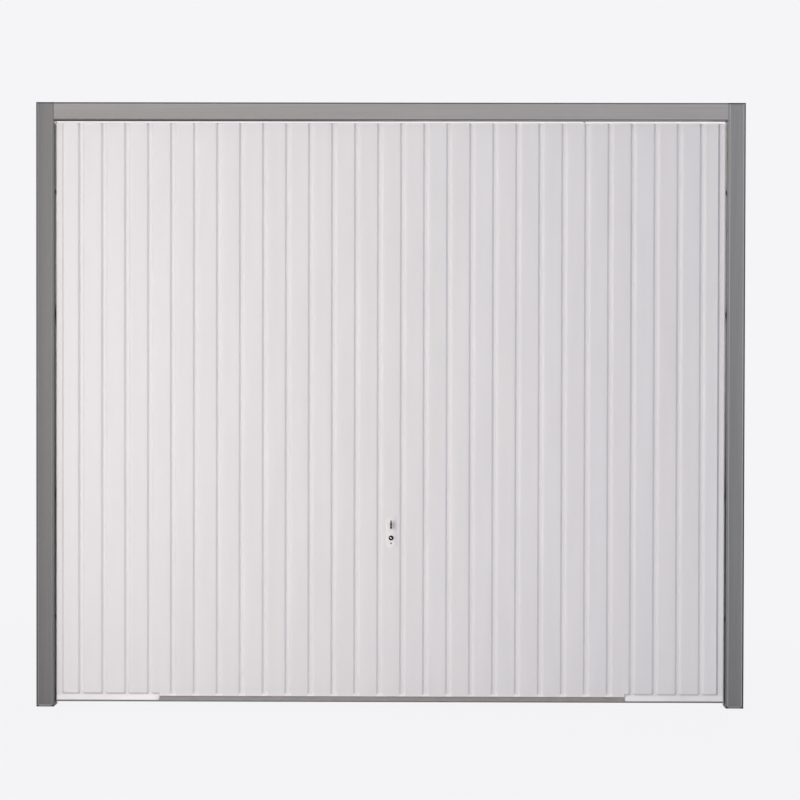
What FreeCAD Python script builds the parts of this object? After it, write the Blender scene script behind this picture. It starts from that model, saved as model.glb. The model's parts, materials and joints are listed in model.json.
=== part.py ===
import FreeCAD, Part
import math
import os
from FreeCAD import Vector

# An up and over garage door: a grey steel frame, a white pressed steel leaf and the canopy lifting gear behind it.
# Millimetres. x runs across the doorway, y into the garage, z up.
# The origin is the middle of the header's top face, which is fixed up under the lintel.

# Frame
FRAME_WIDTH = 2400.0        # over both legs
FRAME_HEIGHT = 2050.0       # from the floor to the top of the header
MEMBER_FACE = 60.0          # width of a leg or of the header seen from the street
LEG_DEPTH = 70.0            # front to back
HEADER_DEPTH = 40.0         # front to back, shallow so that the leaf's top edge swings in behind it
FRAME_WALL = 1.5            # steel thickness of the legs and header
FRAME_CORNER = 4.0          # outside radius of the rolled corners
FOOT_HEIGHT = 8.0           # cap that closes each leg at the floor
WALL_BOLT_RADIUS = 5.0      # holes through each leg for the wall bolts
WALL_BOLT_SPACING = 1450.0  # between the two holes of a leg
WALL_BOLT_HEIGHT = 1025.0   # middle of the two holes above the floor

# Leaf
LEAF_SIDE_GAP = 5.0         # air between the leaf and each leg
LEAF_TOP_GAP = 8.0          # air between the leaf and the header
LEAF_FLOOR_GAP = 15.0       # air under the leaf
LEAF_RECESS = 12.0          # raised flats behind the front of the frame
LEAF_DEPTH = 45.0           # raised flats to the back of the rails
SKIN = 0.8                  # sheet thickness
SKIN_RETURN = 12.0          # folded edge of the sheet
RIB_PITCH = 78.0            # from one pressed flat to the next
RIB_FLAT = 57.0             # width of a flat
RIB_BEVEL = 6.0             # run of the slope beside a flat
RIB_RISE = 8.0              # how far the flats stand out
RIB_SHIFT = 4.0             # middle flat from the leaf's centre line
SIDE_MARGIN = 20.0          # plain sheet beside the first and last flats
TOP_MARGIN = 1.0            # plain sheet above the flats
FOOT_MARGIN = 26.0          # from the leaf's bottom to the lower end of the outer flats
LIP_GAP = 6.0               # bottom rail that shows under the sheet's lip at both ends
CUT_GAP = 21.0              # bottom rail that shows under the sheet between the lips
CUT_HALF_WIDTH = 788.0      # half of the length between the lips
CUT_SLANT = 5.0             # slope of the inner ends of the lips
BAND_HEIGHT = 5.0           # raised band that joins the flats above the cut

# Leaf chassis
RAIL_FACE = 40.0            # height of a rail or width of a stile seen from the garage
RAIL_WALL = 1.2
BOTTOM_RAIL_HEIGHT = 44.0
MIDDLE_RAIL_DROP = 1093.0   # middle of this rail below the frame's top

# Lifting gear: arms hang from the frame and carry the leaf, whose rollers run in upright tracks
TRACK_WIDTH = 36.0          # front to back
TRACK_DEPTH = 30.0
TRACK_WALL = 2.0
TRACK_SLOT = 16.0
TRACK_EDGE = 4.0            # from the leg's outer side to the track
TRACK_TOP_DROP = 55.0       # track's top below the frame's top
TRACK_BOTTOM_DROP = 1420.0
PIVOT_DROP = 94.0           # arm pivot below the frame's top
ARM_LENGTH = 620.0          # between the pins of an arm, and between arm pin and roller on the leaf
ARM_LEAN = 30.0             # lower pin of an arm behind the upper one
ARM_WIDTH = 25.0
ARM_THICKNESS = 8.0
ARM_TRACK_GAP = 8.0         # air between an arm and the track
PIN_RADIUS = 6.0
PIN_HEAD_RADIUS = 10.0
PIN_HEAD = 3.0
RUNNING_FIT = 0.08          # air around a pin in its bore
SIDE_FIT = 0.5              # air beside an arm or roller on its pin
BRACKET_PLATE = 6.0         # pivot plates on the tracks and ears on the leaf
BRACKET_FLANGE = 4.0
BRACKET_HALF_HEIGHT = 40.0
EAR_INSET = 5.0             # ear's outer face from the leaf's edge
PIVOT_HALF_HEIGHT = 16.0
ROLLER_RADIUS = 15.5
ROLLER_WIDTH = 12.0
ROLLER_INSET = 4.0          # roller from the track's mouth
SPINDLE_RADIUS = 5.0
EYE_RADIUS = 7.0
EYE_WIDTH = 5.0             # collar at the spindle's end that takes the cable

# Counterbalance
SHAFT_RADIUS = 10.0
SHAFT_WALL = 3.0
SHAFT_DROP = 26.0           # shaft below the frame's top
DRUM_RADIUS = 20.2
DRUM_FLANGE_RADIUS = 24.0
DRUM_FLANGE = 2.0
DRUM_WIDTH = 12.0
CABLE_RADIUS = 1.5
CABLE_FIT = 0.3             # cable beside the drum and above the spindle
SPRING_RADIUS = 22.0
SPRING_WIRE = 5.0
SPRING_LENGTH = 620.0
CONE_LENGTH = 60.0
SHAFT_BRACKET_HALF_HEIGHT = 22.0
SHAFT_BRACKET_PLATE = 4.0
SHAFT_BRACKET_REACH = 14.0  # bracket behind the shaft's axis
ANCHOR_WIDTH = 80.0

# Lock
LOCK_HEIGHT = 576.0         # lock cylinder above the floor
ESCUTCHEON_WIDTH = 34.0
ESCUTCHEON_HEIGHT = 106.0
ESCUTCHEON_THICKNESS = 3.0
ESCUTCHEON_OFFSET = 18.0    # middle of the plate above the cylinder
CYLINDER_RADIUS = 9.0
CYLINDER_LENGTH = 6.0
HANDLE_RISE = 46.0          # handle's axis above the cylinder
HANDLE_STEM_RADIUS = 5.0
HANDLE_STEM = 12.0
HANDLE_LENGTH = 30.0
HANDLE_WIDTH = 12.0
HANDLE_THICKNESS = 9.0
LOCK_CASE_WIDTH = 90.0
LOCK_CASE_HEIGHT = 120.0
LOCK_CASE_DEPTH = 24.0
LOCK_CASE_WALL = 1.5
LOCK_BAR_HEIGHT = 20.0
LOCK_BAR_THICKNESS = 4.0
LOCK_BAR_INSET = 8.0        # bar's end from the leaf's edge, drawn back

# Places that follow from the sizes above
FLOOR = -FRAME_HEIGHT
FRONT = -HEADER_DEPTH / 2
LEG_OUT = FRAME_WIDTH / 2
LEG_IN = LEG_OUT - MEMBER_FACE
LEG_BACK = FRONT + LEG_DEPTH
LEAF_EDGE = LEG_IN - LEAF_SIDE_GAP
LEAF_TOP = -MEMBER_FACE - LEAF_TOP_GAP
LEAF_BOTTOM = FLOOR + LEAF_FLOOR_GAP
LEAF_FRONT = FRONT + LEAF_RECESS
LEAF_BACK = LEAF_FRONT + LEAF_DEPTH
SHEET_FRONT = LEAF_FRONT + RIB_RISE
SHEET_BACK = SHEET_FRONT + SKIN
LIP_BOTTOM = LEAF_BOTTOM + LIP_GAP
CUT_BOTTOM = LEAF_BOTTOM + CUT_GAP
STILE_OUT = LEAF_EDGE - SKIN
STILE_IN = STILE_OUT - RAIL_FACE
RAIL_TOP = LEAF_TOP - SKIN
BOTTOM_RAIL_TOP = LEAF_BOTTOM + BOTTOM_RAIL_HEIGHT
TRACK_OUT = LEG_OUT - TRACK_EDGE
TRACK_IN = TRACK_OUT - TRACK_DEPTH
TRACK_LINE = LEG_BACK + TRACK_WIDTH / 2
ARM_OUT = TRACK_IN - ARM_TRACK_GAP
ARM_IN = ARM_OUT - ARM_THICKNESS
ARM_DROP = math.sqrt(ARM_LENGTH ** 2 - ARM_LEAN ** 2)
PIVOT_Z = -PIVOT_DROP
ARM_PIN_Y = TRACK_LINE + ARM_LEAN
ARM_PIN_Z = PIVOT_Z - ARM_DROP
ROLLER_Z = PIVOT_Z - 2 * ARM_DROP
EAR_OUT = LEAF_EDGE - EAR_INSET
ROLLER_IN = TRACK_IN + ROLLER_INSET
ROLLER_OUT = ROLLER_IN + ROLLER_WIDTH
EYE_IN = ROLLER_OUT + SIDE_FIT
EYE_OUT = EYE_IN + EYE_WIDTH
CABLE_X = EYE_IN + EYE_WIDTH / 2
SHAFT_Y = TRACK_LINE + CABLE_RADIUS + CABLE_FIT + DRUM_RADIUS
SHAFT_Z = -SHAFT_DROP
LOCK_X = RIB_SHIFT
LOCK_Z = FLOOR + LOCK_HEIGHT
ESCUTCHEON_FRONT = LEAF_FRONT - ESCUTCHEON_THICKNESS
HANDLE_Z = LOCK_Z + HANDLE_RISE


def box(x0, x1, y0, y1, z0, z1):
    """A block between six planes."""
    return Part.makeBox(x1 - x0, y1 - y0, z1 - z0, Vector(x0, y0, z0))


def rod(x0, x1, radius, y, z):
    """A round bar along x."""
    return Part.makeCylinder(radius, x1 - x0, Vector(x0, y, z), Vector(1, 0, 0))


def hexagon(x0, x1, radius, y, z):
    """A six sided head along x."""
    turns = [math.radians(60 * step) for step in range(7)]
    corners = [Vector(x0, y + radius * math.cos(turn), z + radius * math.sin(turn)) for turn in turns]
    return Part.Face(Part.makePolygon(corners)).extrude(Vector(x1 - x0, 0, 0))


def round_edges(shape, radius, direction):
    """The shape with its straight edges along one direction rounded."""
    picked = []
    for edge in shape.Edges:
        start = edge.Vertexes[0].Point
        end = edge.Vertexes[-1].Point
        if (end - start).normalize().cross(direction).Length < 1e-6:
            picked.append(edge)
    return shape.makeFillet(radius, picked)


def mirrored(shape):
    """The same piece for the left side."""
    return shape.mirror(Vector(0, 0, 0), Vector(1, 0, 0))


def leg():
    """The right leg: a rolled box section, closed on top, with two wall bolt holes across it."""
    up = Vector(0, 0, 1)
    foot_top = FLOOR + FOOT_HEIGHT
    outside = round_edges(box(LEG_IN, LEG_OUT, FRONT, LEG_BACK, foot_top, 0), FRAME_CORNER, up)
    hollow = box(
        LEG_IN + FRAME_WALL,
        LEG_OUT - FRAME_WALL,
        FRONT + FRAME_WALL,
        LEG_BACK - FRAME_WALL,
        foot_top,
        -FRAME_WALL,
    )
    shape = outside.cut(hollow)
    middle = FLOOR + WALL_BOLT_HEIGHT
    for z in (middle - WALL_BOLT_SPACING / 2, middle + WALL_BOLT_SPACING / 2):
        shape = shape.cut(rod(LEG_IN, LEG_OUT, WALL_BOLT_RADIUS, (FRONT + LEG_BACK) / 2, z))
    return shape


def foot():
    """The cap under the right leg."""
    return box(LEG_IN, LEG_OUT, FRONT, LEG_BACK, FLOOR, FLOOR + FOOT_HEIGHT)


def header():
    """The header between the legs, a rolled box section."""
    along = Vector(1, 0, 0)
    back = FRONT + HEADER_DEPTH
    outside = round_edges(box(-LEG_IN, LEG_IN, FRONT, back, -MEMBER_FACE, 0), FRAME_CORNER, along)
    hollow = box(
        -LEG_IN,
        LEG_IN,
        FRONT + FRAME_WALL,
        back - FRAME_WALL,
        -MEMBER_FACE + FRAME_WALL,
        -FRAME_WALL,
    )
    return outside.cut(hollow)


def track():
    """The right track on the leg's back: a channel with lips, open towards the doorway."""
    bottom = -TRACK_BOTTOM_DROP
    top = -TRACK_TOP_DROP
    outside = box(TRACK_IN, TRACK_OUT, LEG_BACK, LEG_BACK + TRACK_WIDTH, bottom, top)
    room = box(
        TRACK_IN + TRACK_WALL,
        TRACK_OUT - TRACK_WALL,
        LEG_BACK + TRACK_WALL,
        LEG_BACK + TRACK_WIDTH - TRACK_WALL,
        bottom,
        top,
    )
    mouth = box(
        TRACK_IN,
        TRACK_IN + TRACK_WALL,
        TRACK_LINE - TRACK_SLOT / 2,
        TRACK_LINE + TRACK_SLOT / 2,
        bottom,
        top,
    )
    return outside.cut(room).cut(mouth)


def pivot_bracket():
    """The plate on the right track with the pin that the arm hangs from."""
    plate_in = TRACK_IN - BRACKET_PLATE
    shape = box(
        plate_in,
        TRACK_IN,
        LEG_BACK,
        TRACK_LINE + PIVOT_HALF_HEIGHT,
        PIVOT_Z - PIVOT_HALF_HEIGHT,
        PIVOT_Z + PIVOT_HALF_HEIGHT,
    )
    pin = rod(ARM_IN - SIDE_FIT, plate_in, PIN_RADIUS, TRACK_LINE, PIVOT_Z)
    head = hexagon(ARM_IN - SIDE_FIT - PIN_HEAD, ARM_IN - SIDE_FIT, PIN_HEAD_RADIUS, TRACK_LINE, PIVOT_Z)
    return shape.fuse([pin, head]).removeSplitter()


def lift_arm():
    """The right arm, a flat bar with round ends and a bore at each end."""
    upper = Vector(ARM_IN, TRACK_LINE, PIVOT_Z)
    lower = Vector(ARM_IN, ARM_PIN_Y, ARM_PIN_Z)
    along = (lower - upper).normalize()
    across = Vector(0, along.z, -along.y) * (ARM_WIDTH / 2)
    outline = Part.makePolygon([upper + across, lower + across, lower - across, upper - across, upper + across])
    shape = Part.Face(outline).extrude(Vector(ARM_THICKNESS, 0, 0))
    for y, z in ((TRACK_LINE, PIVOT_Z), (ARM_PIN_Y, ARM_PIN_Z)):
        shape = shape.fuse(rod(ARM_IN, ARM_OUT, ARM_WIDTH / 2, y, z))
    for y, z in ((TRACK_LINE, PIVOT_Z), (ARM_PIN_Y, ARM_PIN_Z)):
        shape = shape.cut(rod(ARM_IN, ARM_OUT, PIN_RADIUS + RUNNING_FIT, y, z))
    return shape.removeSplitter()


def leaf_bracket(y, z, end_radius):
    """A folded bracket on the right stile: a flange on the stile and an ear that reaches back to an axis."""
    flange = box(
        STILE_IN,
        EAR_OUT,
        LEAF_BACK,
        LEAF_BACK + BRACKET_FLANGE,
        z - BRACKET_HALF_HEIGHT,
        z + BRACKET_HALF_HEIGHT,
    )
    corners = [
        Vector(EAR_OUT - BRACKET_PLATE, LEAF_BACK, z - BRACKET_HALF_HEIGHT),
        Vector(EAR_OUT - BRACKET_PLATE, y, z - end_radius),
        Vector(EAR_OUT - BRACKET_PLATE, y, z + end_radius),
        Vector(EAR_OUT - BRACKET_PLATE, LEAF_BACK, z + BRACKET_HALF_HEIGHT),
    ]
    ear = Part.Face(Part.makePolygon(corners + corners[:1])).extrude(Vector(BRACKET_PLATE, 0, 0))
    nose = rod(EAR_OUT - BRACKET_PLATE, EAR_OUT, end_radius, y, z)
    return flange.fuse([ear, nose])


def arm_bracket():
    """The bracket with the pin that joins the leaf to the right arm."""
    pin = rod(EAR_OUT, ARM_OUT + SIDE_FIT, PIN_RADIUS, ARM_PIN_Y, ARM_PIN_Z)
    head = hexagon(ARM_OUT + SIDE_FIT, ARM_OUT + SIDE_FIT + PIN_HEAD, PIN_HEAD_RADIUS, ARM_PIN_Y, ARM_PIN_Z)
    bracket = leaf_bracket(ARM_PIN_Y, ARM_PIN_Z, PIN_HEAD_RADIUS + 3)
    return bracket.fuse([pin, head]).removeSplitter()


def roller_bracket():
    """The bracket with the spindle that carries the right roller and the end of the lift cable."""
    spindle = rod(EAR_OUT, EYE_OUT, SPINDLE_RADIUS, TRACK_LINE, ROLLER_Z)
    eye = rod(EYE_IN, EYE_OUT, EYE_RADIUS, TRACK_LINE, ROLLER_Z)
    bracket = leaf_bracket(TRACK_LINE, ROLLER_Z, PIN_HEAD_RADIUS + 3)
    return bracket.fuse([spindle, eye]).removeSplitter()


def track_roller():
    """The right roller in its track."""
    tyre = rod(ROLLER_IN, ROLLER_OUT, ROLLER_RADIUS, TRACK_LINE, ROLLER_Z)
    return tyre.cut(rod(ROLLER_IN, ROLLER_OUT, SPINDLE_RADIUS + RUNNING_FIT, TRACK_LINE, ROLLER_Z))


def shaft_bracket():
    """The folded bracket on the right leg that carries the end of the spring shaft."""
    bottom = SHAFT_Z - SHAFT_BRACKET_HALF_HEIGHT
    top = SHAFT_Z + SHAFT_BRACKET_HALF_HEIGHT
    plate = box(ARM_IN, ARM_IN + SHAFT_BRACKET_PLATE, LEG_BACK, SHAFT_Y + SHAFT_BRACKET_REACH, bottom, top)
    flange = box(ARM_IN, TRACK_IN, LEG_BACK, LEG_BACK + SHAFT_BRACKET_PLATE, bottom, top)
    bore = rod(ARM_IN, ARM_IN + SHAFT_BRACKET_PLATE, SHAFT_RADIUS + RUNNING_FIT, SHAFT_Y, SHAFT_Z)
    return plate.fuse(flange).cut(bore).removeSplitter()


def spring_anchor():
    """The bracket on the header that holds the still end of the spring."""
    bottom = SHAFT_Z - SHAFT_BRACKET_HALF_HEIGHT
    top = SHAFT_Z + SHAFT_BRACKET_HALF_HEIGHT
    back = FRONT + HEADER_DEPTH
    flange = box(-ANCHOR_WIDTH / 2, ANCHOR_WIDTH / 2, back, back + SHAFT_BRACKET_PLATE, bottom, top)
    plate = box(-SHAFT_BRACKET_PLATE, 0, back, SHAFT_Y + SHAFT_BRACKET_REACH, bottom, top)
    bore = rod(-SHAFT_BRACKET_PLATE, 0, SHAFT_RADIUS + RUNNING_FIT, SHAFT_Y, SHAFT_Z)
    return flange.fuse(plate).cut(bore).removeSplitter()


def spring_shaft():
    """The tube behind the header that turns both drums."""
    reach = CABLE_X - DRUM_WIDTH / 2
    outside = rod(-reach, reach, SHAFT_RADIUS, SHAFT_Y, SHAFT_Z)
    return outside.cut(rod(-reach, reach, SHAFT_RADIUS - SHAFT_WALL, SHAFT_Y, SHAFT_Z))


def torsion_spring():
    """The outline of the close wound spring around the shaft."""
    sleeve = rod(0, SPRING_LENGTH, SPRING_RADIUS, SHAFT_Y, SHAFT_Z)
    return sleeve.cut(rod(0, SPRING_LENGTH, SPRING_RADIUS - SPRING_WIRE, SHAFT_Y, SHAFT_Z))


def winding_cone():
    """The collar that winds the spring and grips the shaft."""
    end = SPRING_LENGTH + CONE_LENGTH
    collar = rod(SPRING_LENGTH, end, SPRING_RADIUS, SHAFT_Y, SHAFT_Z)
    return collar.cut(rod(SPRING_LENGTH, end, SHAFT_RADIUS + RUNNING_FIT, SHAFT_Y, SHAFT_Z))


def cable_drum():
    """The right drum above the track, closed over the end of the shaft."""
    start = CABLE_X - DRUM_WIDTH / 2
    end = CABLE_X + DRUM_WIDTH / 2
    core = rod(start, end, DRUM_RADIUS, SHAFT_Y, SHAFT_Z)
    flange = rod(end - DRUM_FLANGE, end, DRUM_FLANGE_RADIUS, SHAFT_Y, SHAFT_Z)
    return core.fuse(flange).removeSplitter()


def lift_cable():
    """The right cable, from the roller spindle up to the drum."""
    bottom = ROLLER_Z + EYE_RADIUS + CABLE_FIT
    return Part.makeCylinder(CABLE_RADIUS, SHAFT_Z - bottom, Vector(CABLE_X, TRACK_LINE, bottom), Vector(0, 0, 1))


def raised(x0, x1, z0, z1, left, right, bottom, top, sheet):
    """A pressed flat on the sheet, sloped on the sides that are named, or the room behind it.

    sheet is 0 for the outside; for the room behind it is the sheet's thickness.
    """
    x0 += 0 if left else sheet
    x1 -= 0 if right else sheet
    z0 += 0 if bottom else sheet
    z1 -= 0 if top else sheet
    return Part.makeWedge(
        x0 + (RIB_BEVEL if left else 0),
        LEAF_FRONT + sheet,
        z0 + (RIB_BEVEL if bottom else 0),
        z0,
        x0,
        x1 - (RIB_BEVEL if right else 0),
        SHEET_FRONT + sheet,
        z1 - (RIB_BEVEL if top else 0),
        z1,
        x1,
    )


def flats(sheet):
    """Every pressed flat of the leaf, and the band that closes the grooves above the cut."""
    shapes = []
    reach = LEAF_EDGE - SIDE_MARGIN
    foot_end = LEAF_BOTTOM + FOOT_MARGIN
    flat_top = LEAF_TOP - TOP_MARGIN
    half = RIB_FLAT / 2 + RIB_BEVEL
    count = int(LEAF_EDGE / RIB_PITCH) + 1
    for index in range(-count, count + 1):
        x0 = max(RIB_SHIFT + index * RIB_PITCH - half, -reach)
        x1 = min(RIB_SHIFT + index * RIB_PITCH + half, reach)
        if x1 - x0 < 3 * RIB_BEVEL:
            continue
        if x0 > -CUT_HALF_WIDTH and x1 < CUT_HALF_WIDTH:
            shapes.append(raised(x0, x1, CUT_BOTTOM, flat_top, True, True, False, True, sheet))
            continue
        shapes.append(raised(x0, x1, foot_end, flat_top, True, True, True, True, sheet))
        inner0 = max(x0, -CUT_HALF_WIDTH)
        inner1 = min(x1, CUT_HALF_WIDTH)
        if inner1 - inner0 > 3 * RIB_BEVEL:
            high = foot_end + 4 * RIB_BEVEL
            shapes.append(
                raised(inner0, inner1, CUT_BOTTOM, high, inner0 == x0, inner1 == x1, False, True, sheet)
            )
    band_top = CUT_BOTTOM + BAND_HEIGHT + RIB_BEVEL
    shapes.append(
        raised(-CUT_HALF_WIDTH, CUT_HALF_WIDTH, CUT_BOTTOM, band_top, False, False, False, True, sheet)
    )
    return shapes


def door_skin():
    """The white face of the leaf: one pressed sheet with upright flats, folded back along its edges."""
    corners = [
        (-LEAF_EDGE, LEAF_TOP),
        (LEAF_EDGE, LEAF_TOP),
        (LEAF_EDGE, LIP_BOTTOM),
        (CUT_HALF_WIDTH + CUT_SLANT, LIP_BOTTOM),
        (CUT_HALF_WIDTH, CUT_BOTTOM),
        (-CUT_HALF_WIDTH, CUT_BOTTOM),
        (-CUT_HALF_WIDTH - CUT_SLANT, LIP_BOTTOM),
        (-LEAF_EDGE, LIP_BOTTOM),
    ]
    points = [Vector(x, SHEET_FRONT, z) for x, z in corners]
    sheet = Part.Face(Part.makePolygon(points + points[:1])).extrude(Vector(0, SKIN, 0))
    fold = SHEET_FRONT + SKIN_RETURN
    top_fold = box(-LEAF_EDGE, LEAF_EDGE, SHEET_FRONT, fold, LEAF_TOP - SKIN, LEAF_TOP)
    right_fold = box(LEAF_EDGE - SKIN, LEAF_EDGE, SHEET_FRONT, fold, LIP_BOTTOM, LEAF_TOP)
    left_fold = mirrored(right_fold)
    pressed = sheet.fuse(flats(0) + [top_fold, right_fold, left_fold])
    return pressed.cut(flats(SKIN)).removeSplitter()


def channel(x0, x1, z0, z1):
    """A rail or stile behind the sheet: a channel whose open side faces the sheet."""
    outside = box(x0, x1, SHEET_BACK, LEAF_BACK, z0, z1)
    across = x1 - x0 > z1 - z0
    side_x = 0 if across else RAIL_WALL
    side_z = RAIL_WALL if across else 0
    room = box(x0 + side_x, x1 - side_x, SHEET_BACK, LEAF_BACK - RAIL_WALL, z0 + side_z, z1 - side_z)
    return outside.cut(room)


def stile():
    """The right upright of the leaf's chassis."""
    return channel(STILE_IN, STILE_OUT, BOTTOM_RAIL_TOP, RAIL_TOP)


def cross_rail(middle):
    """A rail between the stiles."""
    return channel(-STILE_IN, STILE_IN, middle - RAIL_FACE / 2, middle + RAIL_FACE / 2)


def bottom_rail():
    """The grey box rail that shows under the sheet."""
    outside = box(-STILE_OUT, STILE_OUT, SHEET_BACK, LEAF_BACK, LEAF_BOTTOM, BOTTOM_RAIL_TOP)
    room = box(
        -STILE_OUT,
        STILE_OUT,
        SHEET_BACK + RAIL_WALL,
        LEAF_BACK - RAIL_WALL,
        LEAF_BOTTOM + RAIL_WALL,
        BOTTOM_RAIL_TOP - RAIL_WALL,
    )
    return outside.cut(room)


def escutcheon_plate():
    """The lock's plate on the middle flat, with the bore that the handle's stem turns in."""
    middle = LOCK_Z + ESCUTCHEON_OFFSET
    plate = box(
        LOCK_X - ESCUTCHEON_WIDTH / 2,
        LOCK_X + ESCUTCHEON_WIDTH / 2,
        ESCUTCHEON_FRONT,
        LEAF_FRONT,
        middle - ESCUTCHEON_HEIGHT / 2,
        middle + ESCUTCHEON_HEIGHT / 2,
    )
    plate = round_edges(plate, ESCUTCHEON_WIDTH * 0.45, Vector(0, 1, 0))
    bore = Part.makeCylinder(
        HANDLE_STEM_RADIUS + RUNNING_FIT,
        ESCUTCHEON_THICKNESS,
        Vector(LOCK_X, ESCUTCHEON_FRONT, HANDLE_Z),
        Vector(0, 1, 0),
    )
    return plate.cut(bore)


def lock_cylinder():
    """The key cylinder, with its key slot."""
    front = ESCUTCHEON_FRONT - CYLINDER_LENGTH
    barrel = Part.makeCylinder(CYLINDER_RADIUS, CYLINDER_LENGTH, Vector(LOCK_X, front, LOCK_Z), Vector(0, 1, 0))
    slot = box(
        LOCK_X - 0.8,
        LOCK_X + 0.8,
        front,
        front + CYLINDER_LENGTH / 2,
        LOCK_Z - CYLINDER_RADIUS / 2,
        LOCK_Z + CYLINDER_RADIUS / 2,
    )
    slot.rotate(Vector(LOCK_X, 0, LOCK_Z), Vector(0, 1, 0), -45)
    return barrel.cut(slot)


def pull_handle():
    """The small upright handle and the stem that it turns on."""
    stem_front = ESCUTCHEON_FRONT - HANDLE_STEM
    stem = Part.makeCylinder(
        HANDLE_STEM_RADIUS,
        HANDLE_STEM + ESCUTCHEON_THICKNESS - SIDE_FIT,
        Vector(LOCK_X, stem_front, HANDLE_Z),
        Vector(0, 1, 0),
    )
    grip = box(
        LOCK_X - HANDLE_WIDTH / 2,
        LOCK_X + HANDLE_WIDTH / 2,
        stem_front - HANDLE_THICKNESS,
        stem_front,
        HANDLE_Z - HANDLE_LENGTH / 2,
        HANDLE_Z + HANDLE_LENGTH / 2,
    )
    grip = round_edges(grip, HANDLE_WIDTH * 0.4, Vector(0, 1, 0))
    return grip.fuse(stem).removeSplitter()


def lock_case():
    """The pressed cover over the lock's works, on the back of the lock rail."""
    half_width = LOCK_CASE_WIDTH / 2
    half_height = LOCK_CASE_HEIGHT / 2
    back = LEAF_BACK + LOCK_CASE_DEPTH
    outside = box(
        LOCK_X - half_width,
        LOCK_X + half_width,
        LEAF_BACK,
        back,
        LOCK_Z - half_height,
        LOCK_Z + half_height,
    )
    room = box(
        LOCK_X - half_width + LOCK_CASE_WALL,
        LOCK_X + half_width - LOCK_CASE_WALL,
        LEAF_BACK,
        back - LOCK_CASE_WALL,
        LOCK_Z - half_height + LOCK_CASE_WALL,
        LOCK_Z + half_height - LOCK_CASE_WALL,
    )
    return outside.cut(room)


def lock_bar(x0, x1):
    """A flat bar from the lock case out to a stile."""
    back = LEAF_BACK + LOCK_BAR_THICKNESS
    return box(x0, x1, LEAF_BACK, back, LOCK_Z - LOCK_BAR_HEIGHT / 2, LOCK_Z + LOCK_BAR_HEIGHT / 2)


def pieces():
    """Every piece of the door by name."""
    paired = {
        "leg": leg(),
        "foot": foot(),
        "track": track(),
        "pivot_bracket": pivot_bracket(),
        "shaft_bracket": shaft_bracket(),
        "cable_drum": cable_drum(),
        "lift_cable": lift_cable(),
        "lift_arm": lift_arm(),
        "stile": stile(),
        "arm_bracket": arm_bracket(),
        "roller_bracket": roller_bracket(),
        "track_roller": track_roller(),
    }
    bar_end = LEAF_EDGE - LOCK_BAR_INSET
    shapes = {
        "header": header(),
        "spring_shaft": spring_shaft(),
        "torsion_spring": torsion_spring(),
        "winding_cone": winding_cone(),
        "spring_anchor_bracket": spring_anchor(),
        "door_skin": door_skin(),
        "top_rail": cross_rail(RAIL_TOP - RAIL_FACE / 2),
        "upper_rail": cross_rail(ARM_PIN_Z),
        "middle_rail": cross_rail(-MIDDLE_RAIL_DROP),
        "lock_rail": cross_rail(LOCK_Z),
        "bottom_rail": bottom_rail(),
        "escutcheon_plate": escutcheon_plate(),
        "lock_cylinder": lock_cylinder(),
        "lock_case": lock_case(),
        "left_lock_bar": lock_bar(-bar_end, LOCK_X - LOCK_CASE_WIDTH / 2),
        "right_lock_bar": lock_bar(LOCK_X + LOCK_CASE_WIDTH / 2, bar_end),
        "pull_handle": pull_handle(),
    }
    for name, shape in paired.items():
        shapes["right_" + name] = shape
        shapes["left_" + name] = mirrored(shape)
    return shapes


os.makedirs("parts", exist_ok=True)
for node, solid in pieces().items():
    solid.exportStep("parts/" + node + ".step")
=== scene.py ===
"""Looks of an up and over garage door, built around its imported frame.

Metres in the part's own frame: x across the doorway, y into the garage, z up, the origin on the header's top.
Sizes are written in millimetres and turned to metres where a surface becomes a mesh.
"""

import json
import logging
import math
from dataclasses import dataclass
from enum import Enum

import bmesh
import bpy
import numpy as np
from mathutils import Matrix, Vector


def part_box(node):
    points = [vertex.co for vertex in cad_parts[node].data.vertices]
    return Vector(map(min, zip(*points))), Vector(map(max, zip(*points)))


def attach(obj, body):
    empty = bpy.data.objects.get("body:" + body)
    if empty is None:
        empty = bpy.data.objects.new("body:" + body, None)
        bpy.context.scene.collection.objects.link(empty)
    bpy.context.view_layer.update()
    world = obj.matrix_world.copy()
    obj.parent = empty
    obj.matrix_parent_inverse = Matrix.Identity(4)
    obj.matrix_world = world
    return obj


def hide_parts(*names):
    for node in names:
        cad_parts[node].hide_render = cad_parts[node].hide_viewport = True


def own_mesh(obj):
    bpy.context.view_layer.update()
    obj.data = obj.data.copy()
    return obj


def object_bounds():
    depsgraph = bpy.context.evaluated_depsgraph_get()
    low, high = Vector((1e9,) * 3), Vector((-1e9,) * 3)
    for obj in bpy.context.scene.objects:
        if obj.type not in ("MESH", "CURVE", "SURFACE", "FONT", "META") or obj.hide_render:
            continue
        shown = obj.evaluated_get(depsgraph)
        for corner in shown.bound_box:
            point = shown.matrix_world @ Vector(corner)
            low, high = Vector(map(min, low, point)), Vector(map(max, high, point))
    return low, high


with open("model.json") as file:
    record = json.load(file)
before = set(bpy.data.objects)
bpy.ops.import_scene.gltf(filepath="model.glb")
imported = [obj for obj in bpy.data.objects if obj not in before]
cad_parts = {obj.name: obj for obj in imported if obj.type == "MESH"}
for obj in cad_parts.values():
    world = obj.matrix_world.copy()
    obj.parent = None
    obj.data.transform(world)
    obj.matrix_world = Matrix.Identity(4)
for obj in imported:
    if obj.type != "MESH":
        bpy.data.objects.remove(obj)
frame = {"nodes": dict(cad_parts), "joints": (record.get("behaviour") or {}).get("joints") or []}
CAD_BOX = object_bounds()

LOG = logging.getLogger("garage_door")
Array = np.ndarray
Pair = tuple[float, float]
Place = tuple[float, float, float]
Profile = list[Pair] | Array
MM = 0.001
TONE = "tone"

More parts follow.
